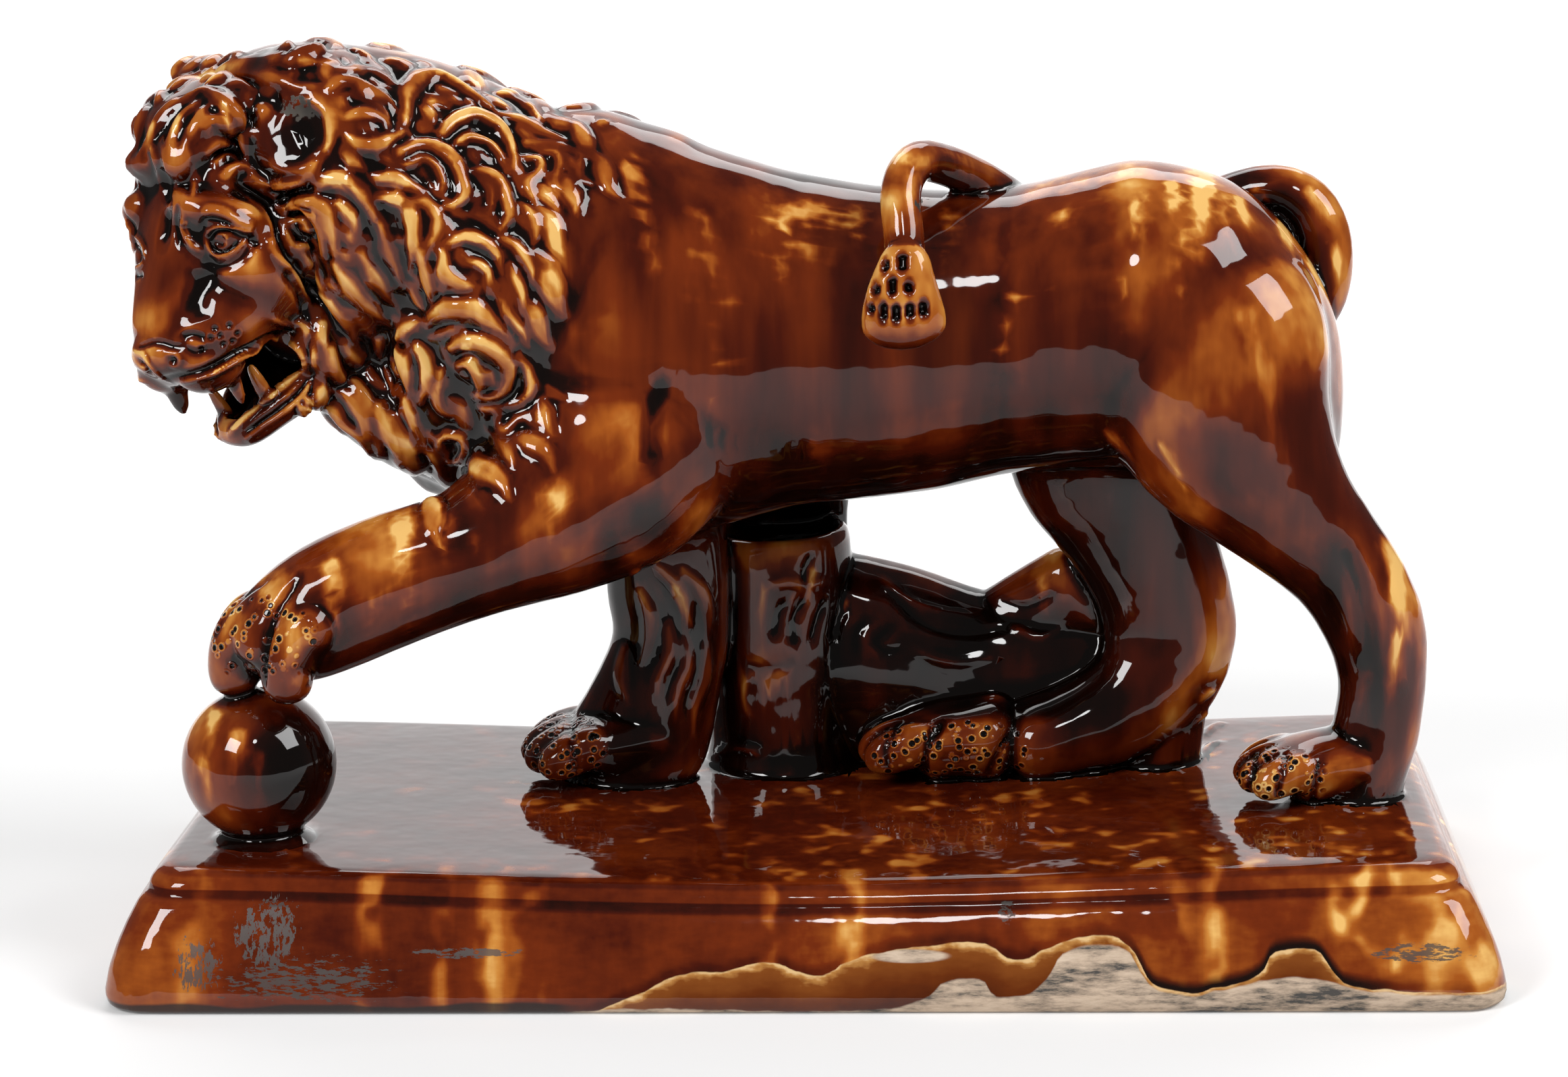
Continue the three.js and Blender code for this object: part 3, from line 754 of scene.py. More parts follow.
# Locks of the mane's near side: places in the image, then half width and height in millimetres, and strands
NEAR_LOCKS = [
    # Crown and nape
    ([(300, 112), (322, 88), (360, 74), (400, 66), (440, 62)], 3.2, 2.4, 3),
    ([(318, 112), (350, 98), (395, 92), (440, 84), (480, 74)], 3.0, 2.2, 3),
    ([(430, 92), (465, 76), (510, 70), (560, 76), (610, 88), (660, 106), (720, 128),
      (756, 138)], 3.6, 3.0, 3),
    ([(300, 140), (325, 118), (365, 110), (405, 116), (440, 128), (475, 130)], 3.2, 2.4, 3),
    ([(450, 55), (500, 48), (550, 56), (600, 66), (640, 82)], 3.0, 2.2, 2),
    ([(640, 68), (668, 84), (700, 102), (745, 120), (790, 132), (850, 150)], 2.8, 2.4, 2),
    ([(488, 132), (512, 120), (542, 134), (572, 152), (598, 184)], 3.2, 2.6, 3),
    ([(500, 108), (540, 108), (575, 122), (602, 142)], 2.6, 2.2, 2),
    ([(512, 176), (535, 168), (560, 176), (580, 190)], 2.4, 2.0, 2),
    ([(515, 202), (542, 216), (580, 206), (602, 190)], 2.4, 2.2, 2),
    ([(598, 182), (602, 145), (620, 120), (648, 116), (675, 128), (708, 150), (740, 172)], 3.4, 3.2, 3),
    ([(735, 172), (772, 180), (806, 198), (845, 212)], 2.6, 2.0, 2),
    ([(742, 140), (790, 142), (832, 160), (875, 168)], 2.6, 1.8, 2),
    ([(780, 212), (815, 216), (850, 226), (880, 240)], 2.2, 1.4, 2),
    # Three crescent curls behind the ear
    ([(652, 205), (672, 182), (702, 174), (732, 186), (750, 206), (760, 232), (762, 256)], 2.9, 3.4, 2),
    ([(664, 224), (692, 208), (722, 214), (742, 234), (746, 250)], 2.0, 2.4, 1),
    ([(590, 226), (622, 219), (652, 226), (672, 242), (683, 264), (687, 288), (672, 304),
      (652, 308)], 3.1, 3.6, 2),
    ([(596, 246), (626, 238), (648, 252), (656, 276), (648, 296)], 2.0, 2.4, 1),
    ([(700, 258), (724, 260), (740, 278), (750, 302), (752, 324), (738, 346)], 2.9, 3.2, 2),
    ([(704, 266), (724, 280), (728, 302), (722, 326)], 1.8, 2.0, 1),
    ([(556, 262), (582, 262), (606, 276), (632, 296), (648, 318)], 2.4, 2.4, 2),
    # Cheek tuft
    ([(424, 312), (446, 300), (468, 318), (478, 346), (480, 384)], 2.6, 2.6, 2),
    ([(442, 296), (480, 308), (494, 348), (498, 388)], 2.4, 2.4, 2),
    ([(470, 272), (506, 266), (542, 296), (562, 338), (560, 360)], 3.2, 3.0, 3),
    ([(500, 300), (524, 322), (530, 350)], 2.4, 2.2, 2),
    ([(560, 292), (598, 300), (612, 328), (616, 370), (608, 408)], 2.6, 2.8, 2),
    ([(600, 302), (628, 302), (646, 322), (642, 348), (630, 376)], 2.3, 2.6, 2),
    ([(566, 330), (574, 362), (590, 398), (608, 432)], 2.8, 2.4, 3),
    ([(534, 372), (552, 402), (574, 432), (596, 462)], 3.0, 2.4, 3),
    ([(500, 392), (520, 424), (548, 454), (580, 478)], 3.0, 2.4, 3),
    ([(472, 398), (484, 432), (502, 460), (524, 496), (532, 520)], 2.8, 2.4, 2),
    ([(624, 372), (632, 402), (640, 432), (642, 458)], 2.4, 2.4, 2),
    ([(610, 416), (622, 446), (640, 468)], 2.2, 2.0, 2),
    # Ring curl and the locks about it
    ([(662, 362), (690, 352), (720, 362), (738, 384), (742, 408)], 2.4, 2.6, 2),
    ([(656, 372), (660, 400), (678, 418), (702, 428), (720, 444)], 2.4, 2.8, 2),
    ([(694, 388), (714, 394), (724, 412), (716, 428)], 1.7, 2.2, 1),
    ([(742, 352), (766, 368), (782, 392), (788, 424)], 2.2, 2.2, 2),
    ([(756, 392), (766, 418), (774, 442), (770, 468)], 2.0, 2.0, 2),
    ([(702, 432), (708, 460), (728, 482), (752, 506)], 2.4, 2.4, 2),
    ([(738, 440), (752, 466), (770, 488), (784, 516)], 2.2, 2.0, 2),
    # Small waves along the back edge
    ([(770, 236), (798, 238), (798, 256), (782, 272), (790, 298), (806, 314)], 1.8, 1.8, 1),
    ([(802, 226), (824, 230), (828, 250), (822, 272), (836, 292)], 1.7, 1.5, 1),
    ([(842, 226), (858, 230), (858, 252), (852, 282)], 1.6, 1.2, 1),
    ([(770, 302), (788, 320), (794, 346), (786, 368)], 1.9, 1.7, 1),
    # Leaf lock and the bright curl below it
    ([(634, 478), (662, 458), (702, 458), (724, 478), (750, 506), (766, 544)], 3.4, 3.0, 2),
    ([(640, 500), (672, 490), (702, 492)], 2.2, 2.0, 2),
    ([(672, 514), (688, 506), (714, 506), (738, 522), (752, 544), (750, 568), (736, 582),
      (710, 590)], 3.0, 3.8, 2),
    ([(680, 542), (698, 536), (710, 556), (712, 578), (702, 588)], 1.9, 2.6, 1),
    ([(766, 526), (782, 550), (788, 572), (776, 592), (758, 600), (730, 594)], 2.3, 2.8, 2),
    ([(714, 604), (736, 606), (742, 626), (752, 638), (768, 624), (792, 610)], 2.2, 2.4, 2),
    ([(655, 548), (648, 580), (655, 604), (672, 616)], 2.4, 2.6, 2),
    # Ring curl at the chest's side
    ([(650, 664), (660, 644), (682, 644), (694, 662), (686, 680), (668, 682), (656, 672)], 1.9, 2.6, 1),
    ([(610, 672), (626, 662), (642, 674), (652, 692), (658, 714)], 2.0, 2.2, 2),
    ([(604, 590), (614, 620), (620, 646), (634, 664)], 2.4, 2.4, 2),
    ([(590, 502), (610, 482), (636, 468)], 2.4, 2.2, 2),
    ([(590, 520), (604, 548), (606, 580)], 2.8, 2.6, 3),
    ([(620, 512), (634, 540), (632, 572), (622, 600)], 2.6, 2.6, 2),
    ([(560, 500), (566, 530), (580, 560), (586, 590)], 2.4, 2.4, 2),
    # Locks behind the jaw and down the chest
    ([(472, 426), (492, 446), (508, 472), (518, 494)], 2.2, 2.2, 2),
    ([(490, 514), (494, 542), (506, 562), (524, 570)], 2.2, 2.4, 1),
    ([(488, 576), (510, 582), (528, 576)], 1.9, 1.8, 1),
    ([(456, 596), (490, 602), (512, 626), (536, 646), (556, 676), (590, 700)], 2.8, 2.8, 3),
    ([(512, 582), (530, 602), (542, 630), (548, 658)], 2.2, 2.2, 2),
    ([(522, 562), (542, 590), (556, 612), (562, 642)], 2.2, 2.2, 2),
    ([(560, 600), (574, 632), (590, 664), (604, 692)], 2.4, 2.4, 2),
    ([(446, 604), (472, 622), (498, 646), (522, 670), (556, 690), (592, 706)], 2.4, 2.4, 2),
    ([(580, 612), (598, 642), (610, 676), (616, 712)], 2.2, 2.2, 2),
    ([(470, 560), (478, 590), (492, 606)], 2.2, 2.2, 2),
    ([(478, 480), (474, 512), (474, 548), (482, 580)], 2.4, 2.4, 2),
]


# The mane's outline in the image, and the middle of the face that its hair flows out from
MANE_EDGE = [(262, 160), (300, 105), (350, 74), (430, 52), (530, 46), (650, 80), (740, 102), (830, 138),
             (900, 170), (880, 240), (825, 300), (800, 380), (790, 450), (800, 520), (800, 600),
             (780, 650), (700, 700), (622, 740), (560, 690), (500, 650), (450, 600), (470, 540),
             (480, 470), (470, 420), (430, 390), (412, 345), (400, 296), (480, 262), (500, 220),
             (470, 140), (420, 125), (330, 150)]
FACE_MIDDLE = (360, 330)


def inside(place, outline):
    """Whether a place lies within an outline."""
    x, y = place
    crossed = False
    for (ax, ay), (bx, by) in zip(outline, outline[1:] + outline[:1]):
        if (ay > y) != (by > y) and x < (bx - ax) * (y - ay) / (by - ay) + ax:
            crossed = not crossed
    return crossed


# Where the low locks begin in the image: the first one, the spacing, the rows, and how far each strays
LOW_START, LOW_SPACING, LOW_ROWS, LOW_STRAY = (240, 40), 46, 16, 9
LOW_STEP = 13


def comb_under_side(skin):
    """Broad low locks over the whole near side, under the ones that stand out."""
    chance = np.random.default_rng(5)
    for row in range(LOW_ROWS):
        for k in range(LOW_ROWS):
            x = LOW_START[0] + LOW_SPACING * (k + 0.5 * (row % 2)) + chance.uniform(-LOW_STRAY, LOW_STRAY)
            y = LOW_START[1] + LOW_SPACING * row + chance.uniform(-LOW_STRAY, LOW_STRAY)
            wave = chance.uniform(0, 6.28)
            if not inside((x, y), MANE_EDGE):
                continue
            places = [(x, y)]
            for step in range(6):
                out = np.array(places[-1], float) - FACE_MIDDLE
                out /= np.linalg.norm(out) + 1e-9
                turned = np.array([-out[1], out[0]])
                flow = out * (0.5 + 0.5 * out[1]) + turned * (0.5 - 0.5 * out[1])
                bend = 0.5 * math.sin(wave + step * 0.7)
                flow = np.array([flow[0] * math.cos(bend) - flow[1] * math.sin(bend),
                                 flow[0] * math.sin(bend) + flow[1] * math.cos(bend)])
                places.append(tuple(np.array(places[-1]) + flow / np.linalg.norm(flow) * LOW_STEP))
            skin.lock(skin.seen_path(places), chance.uniform(3.0, 3.8), chance.uniform(1.2, 1.7), 2)


# Forelocks and ear tufts, as the mane's locks
FORELOCKS = [
    ([(290, 150), (262, 156), (238, 180), (222, 212), (204, 234)], 3.0, 2.6, 3),
    ([(300, 152), (275, 172), (258, 205), (250, 240), (252, 266)], 2.4, 2.4, 3),
    ([(310, 158), (292, 185), (276, 215), (270, 245)], 2.2, 2.4, 2),
    ([(280, 148), (304, 140), (326, 150), (348, 172), (362, 202), (367, 234), (356, 252)], 2.8, 3.2, 3),
    ([(306, 228), (322, 212), (346, 214), (352, 226)], 1.7, 2.0, 1),
    ([(300, 190), (318, 178), (338, 188), (346, 206)], 2.0, 2.2, 2),
    ([(318, 244), (334, 234), (350, 238), (350, 250)], 1.6, 1.8, 1),
    ([(330, 262), (346, 250), (366, 250), (386, 262)], 1.8, 1.8, 1),
    ([(372, 262), (402, 272), (440, 270), (474, 250)], 2.0, 2.2, 2),
    ([(285, 250), (290, 270), (286, 290)], 1.6, 1.2, 1),
    ([(224, 212), (232, 240), (236, 268)], 1.5, 1.2, 1),
    ([(240, 205), (246, 235), (250, 270)], 1.3, 1.2, 1),
    ([(262, 205), (262, 235), (262, 276)], 1.3, 1.2, 1),
    ([(280, 205), (276, 235), (272, 270)], 1.3, 1.2, 1),
]

# Ridges of the face, and grooves where the height is under nothing: places, half width, height
FACE = [
    # Brow, inner fold and the hollow at the root of the nose
    ([(296, 314), (318, 313), (338, 320), (352, 330), (378, 340)], 2.6, 1.5),
    ([(272, 322), (273, 342), (282, 360), (296, 374)], 1.5, 1.5),
    ([(262, 300), (262, 335), (268, 368)], 1.6, -0.8),
    ([(246, 250), (248, 290), (246, 330), (240, 365)], 3.2, -1.3),
    ([(300, 338), (305, 325), (325, 325), (348, 334)], 1.3, -1.0),
    ([(375, 356), (362, 378), (340, 392), (315, 390), (300, 382)], 2.6, -0.9),
    ([(366, 352), (376, 356), (384, 366)], 1.8, -1.3),
    # Lids and eye
    ([(305, 350), (312, 339), (326, 334), (346, 336), (362, 342), (376, 346)], 0.9, 1.3),
    ([(305, 350), (308, 366), (318, 378), (332, 379), (350, 370), (366, 354)], 0.9, 1.1),
    ([(314, 352), (320, 343), (336, 341), (352, 346)], 0.75, -1.1),
    ([(314, 360), (322, 372), (338, 371), (354, 358)], 0.75, -1.0),
    ([(318, 357), (322, 348), (331, 347), (337, 354), (335, 365), (326, 369), (318, 360)], 0.6, 0.7),
    ([(316, 387), (336, 383), (356, 370)], 0.9, 0.6),
    # Cheek's rear edge and the creases at the ear's root
    ([(356, 272), (378, 286), (398, 300), (412, 326), (418, 352), (432, 382), (452, 404),
      (468, 440)], 2.4, -2.4),
    ([(360, 266), (380, 278), (398, 288)], 1.4, 1.0),
    ([(404, 300), (430, 292), (455, 282), (482, 264)], 1.8, -1.8),
    ([(400, 350), (404, 372), (420, 390), (436, 396)], 2.0, 1.2),
    ([(422, 318), (446, 316), (464, 336), (470, 362)], 1.6, -1.6),
    ([(424, 330), (440, 334), (452, 350), (450, 366), (434, 362)], 1.7, 1.3),
    # Far eye and brow
    ([(190, 352), (204, 352), (214, 366), (217, 384)], 1.0, 1.0),
    ([(192, 398), (204, 396), (214, 388)], 0.9, 0.8),
    ([(196, 362), (206, 372), (208, 386)], 1.2, -0.9),
    ([(194, 410), (212, 408)], 1.0, -0.7),
    # Nose
    ([(197, 520), (212, 526), (222, 540), (236, 556), (252, 566)], 1.2, 0.7),
    ([(204, 536), (214, 544), (222, 556)], 1.5, -1.3),
    ([(200, 516), (230, 508), (262, 514), (282, 508)], 1.6, -0.6),
    ([(246, 526), (256, 524), (266, 532), (262, 542), (250, 542)], 1.1, 0.6),
    ([(255, 533), (260, 534)], 1.3, -1.5),
    ([(268, 502), (284, 496), (304, 502)], 1.8, -0.9),
    ([(274, 517), (292, 522), (310, 516)], 1.5, -0.8),
    # Lips and gums
    ([(250, 560), (290, 553), (330, 536), (368, 514), (402, 497), (440, 494)], 2.0, -1.2),
    ([(268, 566), (306, 556), (340, 538), (374, 518), (398, 504)], 1.4, 0.9),
    ([(308, 558), (334, 544), (360, 528), (388, 508)], 1.1, 1.2),
    ([(404, 500), (424, 504), (442, 516), (452, 532), (453, 548)], 1.5, 1.6),
    ([(453, 548), (436, 560), (419, 572), (400, 588), (378, 606), (352, 632), (340, 642)], 1.7, 1.5),
    ([(458, 560), (440, 582), (414, 604), (388, 622), (362, 642)], 1.2, -1.5),
    ([(462, 562), (446, 590), (416, 614), (388, 632), (364, 652)], 1.3, 1.1),
    ([(468, 500), (474, 526), (470, 556), (462, 590)], 2.2, -1.4),
    ([(400, 470), (420, 478), (445, 480), (462, 500)], 2.0, 0.8),
    ([(310, 574), (322, 590), (334, 606)], 1.1, 0.8),
    # Long soft grooves of the cheek
    ([(420, 400), (440, 430), (452, 462), (462, 480)], 2.2, -0.8),
    ([(300, 400), (292, 440), (300, 476)], 5.0, -0.7),
]
# The near ear: its middle in the image, then the cup's radius, the height of its rim and its depth
EAR = (447, 196)
EAR_CUP = (8.6, 1.1, 0.5)
# The side where its rim is highest
EAR_HIGH = view_right * 0.8 + view_up * 0.6
EAR_EDGE = [([(468, 150), (484, 172), (489, 205), (482, 232)], 1.1, 1.0),
            ([(410, 200), (420, 176), (440, 166), (458, 176)], 1.6, 0.6),
            ([(398, 238), (420, 250), (450, 252), (472, 242)], 2.2, 1.6),
            ([(430, 186), (448, 200), (452, 226)], 1.3, -1.0)]
WHISKER_PITS = [(318, 487), (340, 482), (326, 497), (331, 510), (352, 494), (345, 505), (298, 518),
                (312, 500)]
# Radius and depth of a whisker pit
WHISKER_PIT = (0.9, 0.9)


def carve_face(skin):
    skin.comb(FORELOCKS)
    skin.draw(FACE, mirror=True)
    for place in WHISKER_PITS:
        skin.pit(skin.seen_at(*place), *WHISKER_PIT)
    skin.cup(skin.seen_at(*EAR), *EAR_CUP, EAR_HIGH)
    skin.draw(EAR_EDGE)


# Other carving: places, half width, height
CARVING = [
    # Raised paw
    ([(446, 852), (424, 885), (404, 920), (392, 970), (390, 1025)], 1.8, -1.8),
    ([(400, 856), (366, 880), (335, 910), (314, 950)], 1.4, -1.1),
    ([(336, 990), (352, 980), (372, 988), (380, 1006)], 1.2, -1.0),
    ([(434, 1000), (446, 990), (460, 996), (464, 1010), (452, 1020)], 1.0, -1.1),
    # Fold behind the shoulder and slack skin over the elbow
    ([(988, 560), (970, 600), (963, 640), (966, 690)], 4.5, -0.8),
    ([(704, 722), (716, 738), (730, 752)], 1.2, -0.6),
    ([(716, 716), (728, 734), (742, 748)], 1.2, -0.6),
    # Hock and tendon of the near hind leg
    ([(1985, 800), (2010, 860), (2024, 930), (2020, 1000)], 4.5, -1.3),
    ([(2060, 850), (2075, 930), (2070, 1030)], 4.0, 0.8),
    # Paws on the slab
    ([(812, 1060), (806, 1100), (812, 1150)], 1.6, -1.4),
    ([(846, 1050), (846, 1100), (856, 1150)], 1.6, -1.2),
    ([(1330, 1075), (1312, 1110), (1318, 1145)], 1.6, -1.2),
    ([(1400, 1068), (1378, 1100), (1368, 1150)], 2.0, -1.5),
    ([(1500, 1086), (1484, 1110), (1462, 1150)], 2.0, -1.4),
    ([(1860, 1118), (1856, 1150), (1848, 1190)], 1.5, -1.5),
    ([(1905, 1118), (1900, 1150), (1892, 1192)], 1.8, -1.8),
    ([(1958, 1130), (1950, 1160), (1945, 1196)], 1.5, -1.2),
]


# Half width, height and strands of the hair down the foreleg, and of the tufts at the heel
LEG_LOCK, HEEL_LOCK = (2.6, 1.3, 2), (1.7, 1.4, 1)
# Long hair down the back of the standing foreleg
LEG_HAIR = [
    [(938, 846), (968, 862), (984, 892), (990, 930)], [(975, 840), (1005, 868), (1018, 905), (1012, 950)],
    [(1010, 845), (1036, 872), (1048, 915), (1046, 960)], [(948, 880), (962, 915), (960, 955), (948, 990)],
    [(990, 925), (992, 965), (978, 1005), (972, 1040)],
    [(1015, 945), (1018, 985), (1004, 1030), (1000, 1070)],
    [(1046, 950), (1044, 1000), (1030, 1045), (1026, 1090)], [(925, 960), (920, 1000), (930, 1040)],
]
# Grooves and ridges of the bark on the stump and the log
BARK = [
    ([(1165, 888), (1152, 915), (1148, 945)], 1.8, -1.3),
    ([(1192, 886), (1176, 920), (1178, 955)], 2.0, -1.4),
    ([(1222, 890), (1210, 925), (1204, 955)], 1.8, -1.3),
    ([(1252, 902), (1240, 930), (1240, 958)], 1.8, -1.2),
    ([(1284, 918), (1268, 944), (1270, 966)], 1.8, -1.2),
    ([(1320, 928), (1300, 950), (1318, 966), (1340, 958)], 1.5, -1.0),
    ([(1140, 872), (1168, 862), (1198, 868), (1224, 860)], 2.0, 0.8),
    ([(1204, 820), (1192, 850), (1200, 880)], 1.8, -1.0),
    ([(1105, 985), (1140, 990), (1180, 984)], 1.6, -0.4),
    ([(1110, 1000), (1104, 1030), (1112, 1062)], 2.0, 0.7),
    ([(1058, 1120), (1090, 1108), (1130, 1116)], 2.0, 0.9),
    ([(1300, 850), (1340, 885), (1390, 905), (1450, 915)], 2.0, 0.9),
    ([(1320, 880), (1370, 925), (1430, 940), (1500, 930)], 1.8, -0.9),
    ([(1350, 960), (1410, 980), (1480, 972)], 2.2, 0.9),
    ([(1480, 890), (1520, 900), (1560, 880)], 1.6, -0.9),
    ([(1500, 930), (1540, 945), (1580, 925)], 2.0, 0.9),
]

# Oval pits in the tail's tuft: middle, width and height in the image
TUFT_PITS = [(1310, 393, 16, 30), (1337, 388, 18, 38), (1296, 430, 18, 30), (1322, 425, 15, 36),
             (1347, 426, 16, 30), (1290, 458, 14, 22), (1309, 463, 14, 34), (1328, 465, 14, 32),
             (1349, 462, 15, 32), (1369, 458, 16, 32)]
PIT_DEPTH = 2.2
# Short soft grooves between the ribs: the first one's top in the image, the step to the next, and their shape
RIB, RIB_STEP, RIBS = (1052, 628), (20, 3), 8
RIB_SHAPE, RIB_WIDTH, RIB_HEIGHT = [(6, 0), (0, 14), (-1, 26), (4, 38)], 1.5, -0.4
# Middles of the tufts of hair at the far hind leg's heel in the image, and their shape
HEEL_TUFTS = [(1785, 1030), (1800, 1048), (1778, 1062), (1796, 1080), (1775, 1096), (1792, 1108)]
HEEL_SHAPE = [(14, -8), (0, 0), (-10, 14)]
# Grooves of the bark behind, in three heights by turns: the first one's place, the steps, and their shape
BACK_GROOVE, BACK_STEP, BACK_GROOVES, BACK_HEIGHTS = (-24, 20), (12, 9), 10, 3
BACK_SHAPE, BACK_WIDTH, BACK_DEPTH = [(0, 0), (8, 4), (17, -1)], 2.4, -1.3


def moved(shape, x, y):
    """The shape of a short path, set down at a place."""
    return [(x + aside, y + onward) for aside, onward in shape]


def tuft_pit(x, y, wide, tall):
    reach = (tall - wide) / 2 + 2
    return [(x, y - reach), (x, y), (x, y + reach)], wide / 8, -PIT_DEPTH


def carve_body(skin):
    skin.draw(CARVING)
    for k in range(RIBS):
        rib = moved(RIB_SHAPE, RIB[0] + RIB_STEP[0] * k, RIB[1] + RIB_STEP[1] * k)
        skin.stroke(skin.seen_path(rib), RIB_WIDTH, RIB_HEIGHT)
    skin.draw([tuft_pit(*pit) for pit in TUFT_PITS])
    for places in LEG_HAIR:
        skin.lock(skin.seen_path(places), *LEG_LOCK)
    skin.draw(BARK)
    for k in range(BACK_GROOVES):
        x, z = BACK_GROOVE[0] + BACK_STEP[0] * k, BACK_GROOVE[1] + BACK_STEP[1] * (k % BACK_HEIGHTS)
        skin.stroke(skin.behind(moved(BACK_SHAPE, x, z)), BACK_WIDTH, BACK_DEPTH)
    for x, y in HEEL_TUFTS:
        skin.lock(skin.seen_path(moved(HEEL_SHAPE, x, y)), *HEEL_LOCK)


# A place on the line through the middle of the mane, which its far side is combed round
MANE_LINE = (-104.0, 2.0, 172.0)
# The far side's rows from the face back, in millimetres, and its locks round each row, in degrees
FAR_ROWS, FIRST_ROW, ROW_SPACING = 9, 46, 12.5
FAR_LOCKS, FIRST_LOCK, LOCK_SPACING = 13, -62, 17.5


def comb_far_side(skin):
    """Curling locks in rows over the mane's far side and top, each flowing back from the face and down."""
    chance = np.random.default_rng(11)
    for row in range(FAR_ROWS):
        for k in range(FAR_LOCKS):
            turn = FIRST_LOCK + LOCK_SPACING * (k + 0.5 * (row % 2)) + chance.uniform(-4, 4)
            turn = math.radians(turn)
            downward = 1 if turn < math.pi / 2 else -1
            ahead = FIRST_ROW - ROW_SPACING * row + chance.uniform(-2.5, 2.5)
            bend = chance.uniform(-0.5, 0.5)
            hook = 1 if chance.uniform() < 0.6 else -1
            path = []
            for step in range(16):
                share = step / 15
                direction = Vector((0, math.cos(turn), math.sin(turn)))
                origin = Vector((MANE_LINE[0] - ahead, *MANE_LINE[1:])) * MM
                hit = skin.tree.ray_cast(origin + direction * 0.2, -direction)[0]
                if hit is not None:
                    path.append(np.array(hit) / MM)
                swing = math.sin(share * 5.2 + bend * 3)
                ahead -= 1.35 * math.cos(1.1 * swing + 1.3 * hook * share ** 2)
                turn -= (0.011 + 0.026 * share) * downward * (1 + 0.6 * swing)
            path = skin.laid([p for p in path if p[1] > 2 or p[2] > 215])
            if path is not None:
                skin.lock(path, chance.uniform(2.4, 3.3), chance.uniform(2.0, 3.0), 2)


